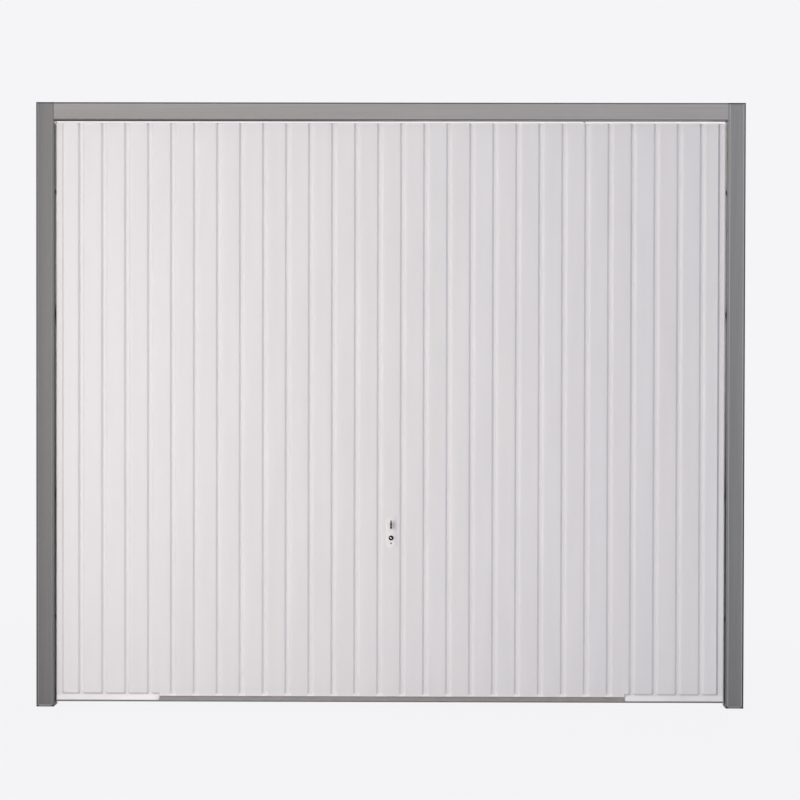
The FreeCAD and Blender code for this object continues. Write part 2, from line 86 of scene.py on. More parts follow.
# Noise that mixes a finish's two shades: octaves, their weight and the span that is spread from 0 to 1.
DRIFT_DETAIL = 5.0
DRIFT_WEIGHT = 0.55
DRIFT_SPAN = (0.3, 0.7)
GRIT_DETAIL = 2.0
CRYSTAL_DRIFT = 0.45

# Plate with rounded edges: the rounding and the distance within which points are one, in millimetres, and the
# angles, in degrees, under which faces are one flat and over which an edge is rounded.
EDGE_ROUND = 0.8
SAME_POINT = 0.01
FLAT_ANGLE = 1.0
EDGE_ANGLE = 40.0


class Body(Enum):
    """The bodies that pieces ride on."""

    FRAME = "frame"
    ARMS = "lift_arms"
    LEAF = "door_leaf"
    HANDLE = "handle"


class Side(Enum):
    """The two sides of the doorway, seen from the street."""

    LEFT = -1
    RIGHT = 1

    @property
    def word(self) -> str:
        """The side's name as it stands in the names of pieces."""
        return self.name.lower()


class Axis(Enum):
    """A direction along which a piece is turned or carried, with the two directions across it."""

    X = ((1, 0, 0), (0, 1, 0), (0, 0, 1))
    Y = ((0, 1, 0), (0, 0, 1), (1, 0, 0))
    Z = ((0, 0, 1), (1, 0, 0), (0, 1, 0))

    @property
    def frame(self) -> Array:
        """The direction and the two across it, as rows."""
        return np.array(self.value, float)


def to_linear(colour: str) -> tuple[float, float, float, float]:
    """Turns an sRGB hex colour to linear values.

    Args:
        colour: six hex digits after a hash.

    Returns:
        Red, green, blue and an alpha of one.
    """
    parts = [int(colour[i : i + 2], 16) / 255 for i in (1, 3, 5)]
    linear = [p / 12.92 if p <= 0.04045 else ((p + 0.055) / 1.055) ** 2.4 for p in parts]
    return (*linear, 1.0)


def add_node(tree: bpy.types.NodeTree, kind: str, settings: dict, inputs: dict) -> bpy.types.Node:
    """Adds a shader node with its settings and links.

    Args:
        tree: the node tree.
        kind: the node's type name after ShaderNode.
        settings: properties of the node.
        inputs: values or output sockets by the input's name or number.

    Returns:
        The new node.
    """
    made = tree.nodes.new("ShaderNode" + kind)
    for key, value in settings.items():
        setattr(made, key, value)
    for key, value in inputs.items():
        if isinstance(value, bpy.types.NodeSocket):
            tree.links.new(value, made.inputs[key])
        else:
            made.inputs[key].default_value = value
    return made


def empty_tree(owner: bpy.types.Material | bpy.types.World) -> bpy.types.NodeTree:
    """Gives a material or a world an empty node tree.

    Args:
        owner: the material or world.

    Returns:
        The tree.
    """
    owner.use_nodes = True
    owner.node_tree.nodes.clear()
    return owner.node_tree


def add_object(name: str, data: bpy.types.ID) -> bpy.types.Object:
    """Adds an object to the scene, at the origin.

    Args:
        name: the object's name.
        data: its mesh, lamp or camera.

    Returns:
        The object.
    """
    made = bpy.data.objects.new(name, data)
    bpy.context.scene.collection.objects.link(made)
    return made


def corners(node: str) -> tuple[Array, Array]:
    """The lowest and highest corner of a solid, in millimetres."""
    low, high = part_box(node)
    return np.array(low) / MM, np.array(high) / MM


def middle_of(node: str) -> Array:
    """The middle of a solid's box, in millimetres."""
    low, high = corners(node)
    return (low + high) / 2


def joint_place(name: str) -> Array:
    """The place of a joint with the door shut, in millimetres."""
    return next(np.array(joint["pos_m"]) / MM for joint in frame["joints"] if joint["name"] == name)


@dataclass(frozen=True)
class Finish:
    """Two shades that drift into each other, a roughness that drifts with them and a fine relief.

    slot is the record's material slot; it is not used. drift is the size of the shade pattern along x, y and
    z, grain the size of the relief's grit and relief its height, all in millimetres. Real grit is finer and
    wouldn't show, so it is drawn coarser. The points' own tone lightens or darkens the colour.
    """

    name: str
    slot: str
    light: str
    dark: str
    drift: Place
    rough: Pair
    grain: float
    relief: float
    metal: float = 0.0
    ior: float = 1.5
    sheen: float = 0.5

    def material(self) -> bpy.types.Material:
        """Makes the material once, and finds it after that.

        Returns:
            The material.
        """
        found = bpy.data.materials.get(self.name)
        if found:
            return found
        made = bpy.data.materials.new(self.name)
        made.diffuse_color = to_linear(self.light)
        tree = empty_tree(made)
        add_node(tree, "OutputMaterial", {}, {"Surface": self.shade(tree)})
        return made

    def place(self, tree: bpy.types.NodeTree, size: Place) -> bpy.types.NodeSocket:
        """Scales the piece's own coordinates to a pattern's size.

        Args:
            tree: the node tree.
            size: the pattern's size in millimetres along x, y and z.

        Returns:
            Coordinates in which one unit is the pattern's size.
        """
        where = add_node(tree, "TexCoord", {}, {}).outputs["Object"]
        scale = tuple(1 / (part * MM) for part in size)
        return add_node(tree, "Mapping", {}, {"Vector": where, "Scale": scale}).outputs[0]

    def pattern(self, tree: bpy.types.NodeTree) -> bpy.types.NodeSocket:
        """Builds the drifting pattern that mixes the shades.

        Args:
            tree: the node tree.

        Returns:
            The pattern, from 0 to 1.
        """
        noise = {"Scale": 1.0, "Detail": DRIFT_DETAIL, "Roughness": DRIFT_WEIGHT}
        noise["Vector"] = self.place(tree, self.drift)
        drift = add_node(tree, "TexNoise", {}, noise).outputs[0]
        span = {0: drift, 1: DRIFT_SPAN[0], 2: DRIFT_SPAN[1]}
        return add_node(tree, "MapRange", {}, span).outputs[0]

    def shade(self, tree: bpy.types.NodeTree) -> bpy.types.NodeSocket:
        """Builds the nodes.

        Args:
            tree: the material's empty node tree.

        Returns:
            The shader's output.
        """
        share = self.pattern(tree)
        mixed = {0: share, 6: to_linear(self.dark), 7: to_linear(self.light)}
        colour = add_node(tree, "Mix", {"data_type": "RGBA"}, mixed).outputs[2]
        # The tone attribute: mostly painted light and shade.
        point = add_node(tree, "Attribute", {"attribute_name": TONE}, {}).outputs["Fac"]
        gain = add_node(tree, "Math", {"operation": "ADD"}, {0: point, 1: 1.0}).outputs[0]
        toned = add_node(tree, "HueSaturation", {}, {"Value": gain, "Color": colour})
        rough = add_node(tree, "MapRange", {}, {0: share, 3: self.rough[0], 4: self.rough[1]})
        grit = {"Vector": self.place(tree, (self.grain,) * 3), "Scale": 1.0, "Detail": GRIT_DETAIL}
        height = add_node(tree, "TexNoise", {}, grit).outputs[0]
        bump = {"Strength": 1.0, "Distance": self.relief * MM, "Height": height}
        surface = {
            "Base Color": toned.outputs[0],
            "Roughness": rough.outputs[0],
            "Normal": add_node(tree, "Bump", {}, bump).outputs[0],
            "Metallic": self.metal,
        }
        if not self.metal:
            surface["IOR"] = self.ior
            surface["Specular IOR Level"] = self.sheen
        return add_node(tree, "BsdfPrincipled", {}, surface).outputs[0]


@dataclass(frozen=True)
class Galvanised(Finish):
    """Hot dip galvanised sheet: zinc crystals of some millimetres, each with its own shade."""

    spangle: float = 11.0

    def pattern(self, tree: bpy.types.NodeTree) -> bpy.types.NodeSocket:
        """Builds a shade for each crystal, with a little drift inside it.

        Args:
            tree: the node tree.

        Returns:
            The pattern, from 0 to 1.
        """
        cells = {"Vector": self.place(tree, (self.spangle,) * 3), "Scale": 1.0, "Randomness": 1.0}
        crystal = add_node(tree, "TexVoronoi", {"feature": "F1"}, cells).outputs["Color"]
        shade = add_node(tree, "SeparateColor", {}, {0: crystal}).outputs[0]
        mixed = {0: CRYSTAL_DRIFT, 2: shade, 3: super().pattern(tree)}
        return add_node(tree, "Mix", {"data_type": "FLOAT"}, mixed).outputs[0]


# Satin polyester paint on rolled steel: faint streaks along the roll, a soft sheen. One frame paint in three
# copies: the left leg's is darker as painted shade, and the right leg's and the header's are lighter as
# painted light.
LEG_PAINT_LEFT_PAINTED_SHADE = Finish(
    "leg_satin_paint_left_painted_shade", "frame_paint", "#737374", "#6b6b6c", (5, 5, 420), (0.42, 0.55), 2.2, 0.012
)
LEG_PAINT_RIGHT_PAINTED_LIGHT = Finish(
    "leg_satin_paint_right_painted_light", "frame_paint", "#8d8d8e", "#858586", (5, 5, 420), (0.42, 0.55), 2.2, 0.012
)
HEADER_PAINT_PAINTED_LIGHT = Finish(
    "header_satin_paint_painted_light", "frame_paint", "#9f9d9d", "#969494", (420, 5, 5), (0.40, 0.52), 2.2, 0.012
)
RAIL_PAINT = Finish(
    "rail_satin_paint", "rail_paint", "#a8a5a4", "#969392", (40, 5, 5), (0.42, 0.55), 2.2, 0.012
)
# White polyester coil coating on pressed sheet: almost even, a fine grain and a low sheen.
COIL_COAT = Finish(
    "white_coil_coating", "leaf_paint", "#e9e8ea", "#e5e4e6", (60, 60, 500), (0.38, 0.5), 6.0, 0.05
)
# Thin epoxy primer on the sheet's back: pale grey, duller, with roller streaks up the sheet.
PRIMER = Finish(
    "sheet_back_primer", "leaf_paint", "#d3d4d3", "#c9cac9", (14, 14, 700), (0.55, 0.7), 3.0, 0.03
)
# Galvanised steel sheet: large pale crystals, some duller than others.
GALVANISED = Galvanised(
    "galvanised_sheet", "zinc_steel", "#c4c8ca", "#999ea1", (60, 60, 60), (0.3, 0.5), 4.0, 0.02, metal=1.0
)
# Zinc plated and passivated steel: clear, bluish, with soft stains.
ZINC = Finish(
    "zinc_plated_steel", "zinc_steel", "#c4c8cc", "#a2a6a8", (18, 18, 18), (0.24, 0.4), 1.2, 0.012, metal=1.0
)
# Zinc rich paint brushed over a weld: matt, a little darker than the sheet around it.
WELD_PAINT = Finish(
    "zinc_rich_weld_paint", "zinc_steel", "#8f9294", "#7d8082", (8, 8, 8), (0.6, 0.75), 1.0, 0.05, metal=0.6
)
# Oil tempered spring wire: dark with brown and blue drift along the coil.
SPRING_STEEL = Finish(
    "oil_tempered_wire", "spring_steel", "#7a7a7d", "#55524f",
    (30, 30, 30), (0.32, 0.48), 1.0, 0.01, metal=1.0
)
# Sand cast aluminium: pale, dull, with a coarse skin.
CAST_ALLOY = Finish(
    "cast_aluminium", "cast_alloy", "#b9bbbd", "#9b9da0", (12, 12, 12), (0.42, 0.6), 1.6, 0.09, metal=1.0
)
# Galvanised wire rope: bright strands; the rope's tone paints shade between them.
WIRE_ROPE = Finish(
    "galvanised_wire_rope", "cable_steel", "#b4b8bb", "#878a8c",
    (40, 40, 40), (0.3, 0.45), 0.8, 0.01, metal=1.0
)
# Moulded nylon: ivory, waxy, scuffed.
NYLON = Finish(
    "moulded_nylon", "roller_nylon", "#dcd8cc", "#cbc6b8", (9, 9, 9), (0.36, 0.5), 1.5, 0.02, ior=1.53
)
# Moulded polypropylene foot: dark grey with a matt skin, black towards the corners.
FOOT_PLASTIC = Finish(
    "moulded_polypropylene", "foot_plastic", "#7d7f7f", "#6f7171",
    (20, 20, 20), (0.5, 0.65), 1.4, 0.03, ior=1.49
)
# Moulded white cover: brighter than the leaf, a little glossier.
WHITE_PLASTIC = Finish(
    "moulded_white_abs", "leaf_paint", "#f1f1f1", "#ebebec", (15, 15, 15), (0.28, 0.38), 1.4, 0.01, ior=1.54
)
# Black zinc die casting with a baked coat: deep, dull.
BLACK_COAT = Finish(
    "black_coated_die_casting", "dark_lock", "#161617", "#0f0f10",
    (10, 10, 10), (0.5, 0.6), 1.0, 0.015, sheen=0.15
)
# Nickel plated brass at the key slot: bright and clean.
NICKEL = Finish(
    "nickel_plated_brass", "dark_lock", "#e6e4e0", "#d8d5cf", (6, 6, 6), (0.2, 0.3), 0.8, 0.005, metal=1.0
)


@dataclass
class Shell:
    """A surface: points, faces of four corners, flat ends of any number of corners, and each point's tone."""

    points: Array
    quads: Array
    ends: list[Array]
    tone: Array

    @classmethod
    def loft(cls, rings: Array, tone: Array | float = 0.0, ring: bool = False) -> "Shell":
        """Joins closed rings of points to a tube with flat ends.

        Args:
            rings: points of the shape (ring, point, 3), in millimetres.
            tone: a tone for each point, or one for all.
            ring: whether the last ring joins the first, which leaves no ends.

        Returns:
            The closed surface.
        """
        count, around = rings.shape[:2]
        index = np.arange(count * around).reshape(count, around)
        low = index if ring else index[:-1]
        high = np.roll(index, -1, axis=0) if ring else index[1:]
        quads = np.stack([low, np.roll(low, -1, 1), np.roll(high, -1, 1), high], axis=-1).reshape(-1, 4)
        ends = [] if ring else [index[0, ::-1], index[-1]]
        tones = np.broadcast_to(np.asarray(tone, float), (count, around)).ravel()
        return cls(rings.reshape(-1, 3), quads, ends, tones.copy())

    @classmethod
    def join(cls, *shells: "Shell") -> "Shell":
        """Puts several surfaces together in one.

        Args:
            shells: the surfaces.

        Returns:
            One surface with all their points and faces.
        """
        starts = np.cumsum([0] + [len(shell.points) for shell in shells[:-1]])
        points = np.concatenate([shell.points for shell in shells])
        quads = np.concatenate([shell.quads + start for shell, start in zip(shells, starts)])
        ends = [end + start for shell, start in zip(shells, starts) for end in shell.ends]
        return cls(points, quads, ends, np.concatenate([shell.tone for shell in shells]))

    def at(self, places: list[Place] | Array) -> "Shell":
        """Repeats the surface at several places.

        Args:
            places: offsets in millimetres.

        Returns:
            All copies in one surface.
        """
        moves = np.asarray(places, float)
        copies = [Shell(self.points + move, self.quads, self.ends, self.tone) for move in moves]
        return Shell.join(*copies)

    def on(self, side: Side) -> "Shell":
        """The surface as it is for the right side, or its mirror image for the left."""
        return Shell(self.points * (side.value, 1, 1), self.quads, self.ends, self.tone)

    def both_sides(self) -> "Shell":
        """The surface and its mirror image on the other side of the doorway."""
        return Shell.join(self.on(Side.LEFT), self.on(Side.RIGHT))

    def spun(self, axis: Axis, degrees: float) -> "Shell":
        """Turns the surface around an axis through the origin.

        Args:
            axis: the direction of the axis.
            degrees: the angle, from the axis's first direction across towards its second.

        Returns:
            The turned surface.
        """
        along, first, second = axis.frame
        cos, sin = math.cos(math.radians(degrees)), math.sin(math.radians(degrees))
        spin = np.outer(along, along) + np.outer(first, cos * first + sin * second)
        spin = spin + np.outer(second, cos * second - sin * first)
        return Shell(self.points @ spin, self.quads, self.ends, self.tone)

    def mesh(self, name: str, closed: bool = True, crease: float = 35.0) -> bpy.types.Mesh:
        """Makes a smooth shaded mesh with sharp edges where faces turn by more than an angle.

        Args:
            name: the mesh's name.
            closed: whether faces are turned outwards.
            crease: the angle in degrees.

        Returns:
            The mesh, in metres.
        """
        made = bpy.data.meshes.new(name)
        faces = self.quads.tolist() + [end.tolist() for end in self.ends]
        made.from_pydata((self.points * MM).tolist(), [], faces)
        if closed:
            work = bmesh.new()
            work.from_mesh(made)
            bmesh.ops.recalc_face_normals(work, faces=work.faces)
            work.to_mesh(made)
            work.free()
        values = made.attributes.new(TONE, "FLOAT", "POINT").data
        values.foreach_set("value", self.tone.astype(np.float32))
        made.shade_smooth()
        made.set_sharp_from_angle(angle=math.radians(crease))
        made.validate()
        return made

    def add(self, name: str, finish: Finish, body: Body, *stands_for: str) -> bpy.types.Object:
        """Adds the closed surface to the scene as a dressed piece, as add_piece does."""
        return add_piece(self.mesh(name), finish, body, *stands_for)


def add_piece(mesh: bpy.types.Mesh, finish: Finish, body: Body, *stands_for: str) -> bpy.types.Object:
    """Adds a dressed piece, named as its mesh, to the scene.

    Args:
        mesh: its mesh, in place.
        finish: its finish.
        body: the body it rides on.
        stands_for: solids that it replaces.

    Returns:
        The object.
    """
    made = add_object(mesh.name, mesh)
    mesh.materials.append(finish.material())
    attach(made, body.value)
    if stands_for:
        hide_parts(*stands_for)
    LOG.info("%s: %d faces on %s", made.name, len(mesh.polygons), body.value)
    return made


def soften(node: str, finish: Finish, body: Body) -> None:
    """Replaces a solid by a copy whose edges are rounded, as pressed and sheared plate has them.

    Args:
        node: the solid's name.
        finish: its finish.
        body: the body it rides on.
    """
    mesh = bpy.data.meshes.new(node + "_rounded")
    work = bmesh.new()
    work.from_mesh(frame["nodes"][node].data)
    bmesh.ops.remove_doubles(work, verts=work.verts, dist=SAME_POINT * MM)
    flat = math.radians(FLAT_ANGLE)
    bmesh.ops.dissolve_limit(work, angle_limit=flat, verts=work.verts, edges=work.edges)
    work.to_mesh(mesh)
    work.free()
    mesh.shade_smooth()
    made = add_piece(mesh, finish, body, node)
    edge = made.modifiers.new("edges", "BEVEL")
    edge.width = EDGE_ROUND * MM
    edge.segments = 2
    edge.limit_method = "ANGLE"
    edge.angle_limit = math.radians(EDGE_ANGLE)
    edge.harden_normals = True


def rounded_loop(width: float, height: float, radius: float, corner: int = 6, straight: int = 0) -> Array:
    """A rectangle with round corners, as a closed loop around its middle.

    Each corner is a quarter circle of the radius, and straight points divide each side evenly.

    Args:
        width: over all along the first direction.
        height: over all along the second direction.
        radius: of the corners.
        corner: points in a corner.
        straight: points on a side between its corners.

    Returns:
        Points of the shape (point, 2), counter-clockwise.
    """
    turn = np.linspace(0, np.pi / 2, corner)
    signs = np.array([(1, 1), (-1, 1), (-1, -1), (1, -1)])
    middles = signs * (width / 2 - radius, height / 2 - radius)
    angles = turn + np.arange(4)[:, None] * np.pi / 2
    arcs = middles[:, None, :] + radius * np.stack([np.cos(angles), np.sin(angles)], axis=-1)
    share = np.linspace(0, 1, straight + 2)[1:-1, None]
    starts, stops = arcs[:, -1][:, None, :], np.roll(arcs[:, 0], -1, axis=0)[:, None, :]
    sides = starts * (1 - share) + stops * share
    return np.concatenate([arcs, sides], axis=1).reshape(-1, 2)


def bent_strip(line: Profile, thickness: float, radius: float, steps: int = 5) -> Array:
    """The section of a bent sheet: a line with an arc at each bend, set off to both sides.

    Args:
        line: the strip's middle line, from one edge to the other, in millimetres.
        thickness: of the sheet.
        radius: of the bends at the middle line.
        steps: points in a bend.

    Returns:
        The closed section.
    """
    knots = np.array(line, float)
    ways = np.diff(knots, axis=0)
    ways = ways / np.linalg.norm(ways, axis=1, keepdims=True)
    sides = np.stack([-ways[:, 1], ways[:, 0]], axis=1)
    bend = np.arctan2((sides[:-1] * ways[1:]).sum(1), (ways[:-1] * ways[1:]).sum(1))
    starts = knots[1:-1] - ways[:-1] * (radius * np.tan(np.abs(bend) / 2))[:, None]
    middles = starts + sides[:-1] * (radius * np.sign(bend))[:, None]
    turn = bend[:, None] * np.linspace(0, 1, steps)
    normals = np.cos(turn)[..., None] * sides[:-1, None] - np.sin(turn)[..., None] * ways[:-1, None]
    arcs = middles[:, None] - (radius * np.sign(bend))[:, None, None] * normals
    points = np.concatenate([knots[:1], arcs.reshape(-1, 2), knots[-1:]])
    normals = np.concatenate([sides[:1], normals.reshape(-1, 2), sides[-1:]])
    return np.concatenate([points + normals * thickness / 2, (points - normals * thickness / 2)[::-1]])


def carried(axis: Axis, section: Array, places: list[float] | Array, tone: Array | float = 0.0) -> Shell:
    """A section carried straight along an axis.

    Args:
        axis: the direction.
        section: a closed loop in the two directions across it, in millimetres.
        places: along the axis, where the section stands.
        tone: a tone for each point, or one for all.

    Returns:
        The closed surface.
    """
    along, first, second = axis.frame
    flat = section[:, :1] * first + section[:, 1:] * second
    return Shell.loft(np.asarray(places, float)[:, None, None] * along + flat, tone)


def turned(axis: Axis, profile: Profile, around: int = 32, flats: int = 0, ring: bool = False) -> Shell:
    """A profile turned around an axis through the origin.

    A point at (a, r) of the profile becomes a circle of radius r at a along the axis. With flats the circle
    is the polygon that touches it from outside.

    Args:
        axis: the direction.
        profile: pairs of place along the axis and radius, in millimetres.
        around: points in a circle.
        flats: number of sides of a polygon, or none.
        ring: whether the profile closes on itself, as around a bore.

    Returns:
        The closed surface.
    """
    along, first, second = axis.frame
    place, radius = np.array(profile, float).T
    angle = np.arange(around) * 2 * np.pi / around
    shape = np.ones(around)
    if flats:
        wedge = 2 * np.pi / flats
        shape = 1 / np.cos((angle + wedge / 2) % wedge - wedge / 2)
    circle = shape[:, None] * (np.cos(angle)[:, None] * first + np.sin(angle)[:, None] * second)
    return Shell.loft(place[:, None, None] * along + radius[:, None, None] * circle, ring=ring)


def plate(axis: Axis, loops: Profile, size: Pair, radius: float, straight: int = 0) -> Shell:
    """A plate with round corners and shaped edges around the origin.

    At each place along the axis the outline is the rounded rectangle drawn in by an inset.

    Args:
        axis: the direction of its thickness.
        loops: pairs of place along the axis and inset, in millimetres.
        size: along the axis's two directions across.
        radius: of the corners, which keep at least 0.3 mm of it where the outline is drawn in.
        straight: points on a side between its corners.

    Returns:
        The closed surface.
    """
    along, first, second = axis.frame
    rings = []
    for place, inset in loops:
        inner = max(radius - inset, 0.3)
        loop = rounded_loop(size[0] - 2 * inset, size[1] - 2 * inset, inner, straight=straight)
        rings.append(place * along + loop[:, :1] * first + loop[:, 1:] * second)
    return Shell.loft(np.array(rings))


def coil(radius: float, wire: float, pitch: float, turn: Pair, steps: int = 18, sides: int = 8) -> Shell:
    """A round wire carried along a helix around the x axis: radius and angle give y and z, the pitch gives x.

    Args:
        radius: from the axis to the middle of the wire, in millimetres.
        wire: the wire's radius.
        pitch: the step along x in one turn.
        turn: first and last angle, in turns, from y towards z.
        steps: points in one turn.
        sides: points around the wire.

    Returns:
        The closed surface.
    """
    angle = np.linspace(*turn, int(abs(turn[1] - turn[0]) * steps) + 2) * 2 * np.pi
    outward = np.stack([np.zeros_like(angle), np.cos(angle), np.sin(angle)], axis=1)
    along = np.array([1.0, 0, 0])
    path = outward * radius + (pitch * np.abs(angle - angle[0]) / (2 * np.pi))[:, None] * along
    around = np.arange(sides) * 2 * np.pi / sides
    ring = np.cos(around)[:, None, None] * outward + np.sin(around)[:, None, None] * along
    return Shell.loft((path + wire * ring).transpose(1, 0, 2))


def bolt(axis: Axis, size: float, washer: float = 1.4) -> Shell:
    """A hexagon head on a washer, both turned from profiles and standing on the origin.

    Args:
        axis: the direction it points in.
        size: across the head's flats, in millimetres.
        washer: its thickness, into which the head sinks a little.

    Returns:
        The closed surfaces of washer and head.
    """
    rim, seat = 0.75 * size, washer - 0.1
    side, top = seat + 0.5 * size, seat + 0.6 * size
    ring = [(0, rim), (washer - 0.4, rim), (washer, 0.71 * size), (washer, 0.55 * size)]
    head = [(seat, 0.5 * size), (side, 0.5 * size), (top, 0.43 * size), (top, 0.25 * size)]
    return Shell.join(turned(axis, ring, 24), turned(axis, head, 24, flats=6))


def rivet(axis: Axis, radius: float, outward: float = 1.0, dome: float = 0.45) -> Shell:
    """A domed head standing on the origin: its height follows a quarter circle, up to a small flat top.

    Args:
        axis: the direction it points in.
        radius: of the head, in millimetres.
        outward: 1 along the axis, -1 against it.
        dome: its height as a share of the radius.

    Returns:
        The closed surface.
    """
    turn = np.linspace(0, 0.94 * math.pi / 2, 5)
    profile = np.stack([outward * radius * dome * np.sin(turn), radius * np.cos(turn)], axis=1)
    return turned(axis, profile, 16)


def weld(axis: Axis, length: float, radius: float, drop: float = 3.2) -> Shell:
    """A weld bead around the origin: a round bar that swells with each drop and thins out at its ends.

    The radius follows a cosine along the seam, times the root of one less the sixth power of the share of the
    way to an end.

    Args:
        axis: the direction of the seam.
        length: of the bead, in millimetres.
        radius: of the bar.
        drop: from one drop to the next.

    Returns:
        The closed surface.
    """
    place = np.linspace(-length / 2, length / 2, int(length) + 1)
    drops = radius * (0.88 + 0.12 * np.cos(2 * np.pi * place / drop))
    ends = np.sqrt(np.clip(1 - (2 * place / length) ** 6, 0.03, 1))
    return turned(axis, np.stack([place, drops * ends], axis=1), 12)


@dataclass
class PressedSheet:
    """The white face of the leaf: upright flats pressed into one sheet, folded back along top and sides.

    Lengths are in millimetres. A tone is the share by which the paint is lighter or darker, where the real
    sheet catches the light or lies in shade: on its lips, folds, bends and the feet of its grooves.
    """

    pitch: float = 78.0  # from one flat to the next
    flat: float = 57.0  # width of a flat
    bevel: float = 6.0  # run of the slope around a flat
    bend: float = 2.4  # window that rounds the bends of a slope
    corner: float = 8.0  # radius of a flat's lower corners
    shift: float = 4.0  # middle flat from the leaf's centre line
    margin: float = 20.0  # plain sheet beside the first and last flats
    run_over: float = 20.0  # flats above the top fold
    run_under: float = 90.0  # flats below their feet, where they run on to the cut
    foot_margin: float = 20.0  # feet of the outer flats above the lips' edge
    cut_half: float = 791.0  # half of the cut between the lips
    cut_shift: float = 8.0  # middle of the cut from the leaf's centre line
    cut_rise: float = 15.0  # cut above the lips' edge
    cut_blend: float = 4.0  # run over which the feet change at the ends of the cut
    slant: float = 2.5  # run of the lips' inner ends
    band: float = 5.0  # raised band along the cut
    blend: float = 0.12  # soft join of band and flats, as a share of the rise
    lip_start: float = 6.0  # run over which a lip begins
    hem: float = 9.0  # doubled edge of a lip
    hem_run: float = 3.0
    hem_rise: float = 0.9
    flare: float = 3.0  # how far the lips' inner ends stand out
    flare_length: float = 170.0
    flare_rise: float = 2.0  # flare above the feet
    fold_round: float = 1.0  # rounding of the folds
    # Painted highlight under the top fold.
    fold_line: float = 4.5  # bright line under the top fold, down to one of the upper rows
    thickness: float = 0.8
    ripple: float = 0.16  # waviness of the sheet
    wave_x: Pair = (97.0, 41.0)
    wave_z: Pair = (210.0, 330.0)
    wave_start: Pair = (1.3, 0.4)
    # Painted highlight on the flared inner ends of the lips.
    flare_tone: float = 0.07  # full at a part of the flare
    flare_gain: float = 3.0
    # Painted highlight on the lips below the flats' feet.
    lip_tone: float = 0.14
    lip_fade: float = 4.0
    # Painted highlights where the grooves and the flats end at the band along the cut.
    groove_foot_tone: float = 0.16
    flat_foot_tone: float = 0.04
    # Painted shade on the slopes at the flats' lower ends over the lips.
    end_tone: float = -0.2
    end_reach: float = 8.0
    # Painted sheen halfway up each slope of the pressing.
    bend_tone: float = 0.03
    # Painted highlight along the top fold.
    fold_tone: float = 0.09
    # Painted light near the sides, more on the right, that lifts the shade cast by the legs.
    side_tones: Pair = (0.05, 0.3)
    side_reach: float = 14.0
    slope_columns: tuple[float, ...] = (-3, -1.2, 0, 1.2, 2.4, 3.6, 4.8, 6, 7.2, 9)
    flat_columns: tuple[float, ...] = (-8, 0, 8)
    lip_columns: tuple[float, ...] = (-6, -4, -2, 0, 0.8, 1.6, 2.5, 4, 7)
    side_columns: Pair = (4.0, 9.0)
    closest: float = 0.5  # between two columns
    upper_rows: tuple[float, ...] = (0.0, 1.0, 2.2, 4.5, 6.0, 12.0, 22.0)  # below the top fold
    level_end: float = 36.0  # last level row above the feet
    level_rows: int = 12
    lower_rows: int = 34

    def __post_init__(self) -> None:
        """Takes the sheet's reach from its solid."""
        low, high = corners("door_skin")
        self.edge = high[0]
        self.top = high[2]
        self.lip = low[2]
        self.fold = high[1]
        self.rise = -low[1]
        self.foot = self.lip + self.foot_margin
        self.cut = self.lip + self.cut_rise
        self.start = self.top - self.fold_round
        self.reach = self.edge - self.margin
        self.last = int(self.reach / self.pitch)

    def slope(self, share: Array) -> Array:
        """A straight rise from 0 to 1 with rounded bends: its average over a short window around each place.

        Args:
            share: places, with 0 and 1 at the two ends of the slope.

        Returns:
            The rise at each place.
        """
        window = self.bend / self.bevel / 2

        def area(reach: Array) -> Array:
            """The sum of the straight rise up to a place."""
            return np.where(reach < 0, 0, np.where(reach > 1, reach - 0.5, reach * reach / 2))

        return (area(share + window) - area(share - window)) / (2 * window)

    def bounds(self, x: Array) -> tuple[Array, Array]:
        """Finds the flat next to each place.

        Args:
            x: places across the leaf.

        Returns:
            The two ends of the flat's foot, in x.
        """
        half = self.flat / 2 + self.bevel
        number = np.clip(np.round((x - self.shift) / self.pitch), -self.last, self.last)
        middle = self.shift + self.pitch * number
        return np.maximum(middle - half, -self.reach), np.minimum(middle + half, self.reach)

    def past_cut(self, x: Array) -> Array:
        """How far each place lies beyond the nearer end of the cut."""
        return np.abs(x - self.cut_shift) - self.cut_half

    def lower_edge(self, x: Array) -> Array:
        """The sheet's lower edge: lips at both ends, cut higher between them, with a short slant at each."""
        return self.cut + (self.lip - self.cut) * np.clip(self.past_cut(x) / self.slant, 0, 1)

    def on_lip(self, x: Array) -> Array:
        """How far each place belongs to a lip, from 0 to 1."""
        return np.clip((self.past_cut(x) - self.slant) / self.lip_start, 0, 1)

    def flared(self, x: Array, z: Array) -> Array:
        """How far a lip stands out, from 0 to 1: most at its inner end and its lower edge."""
        inner = self.on_lip(x) * np.clip(1 - self.past_cut(x) / self.flare_length, 0, 1)
        return inner * np.clip((self.foot + self.flare_rise - z) / self.foot_margin, 0, 1)

    def inside(self, x: Array, z: Array, bottom: float) -> Array:
        """Distance inside a flat's foot, a rectangle with round corners that runs on over the top fold.

        Args:
            x: places across the leaf.
            z: heights, of the same shape.
            bottom: the foot's lower end.

        Returns:
            The distance from the outline, more than 0 inside it.
        """
        left, right = self.bounds(x)
        top = self.top + self.run_over
        away_x = np.abs(x - (left + right) / 2) - (right - left) / 2 + self.corner
        away_z = np.abs(z - (top + bottom) / 2) - (top - bottom) / 2 + self.corner
        outer = np.hypot(np.maximum(away_x, 0), np.maximum(away_z, 0))
        return self.corner - outer - np.minimum(np.maximum(away_x, away_z), 0)

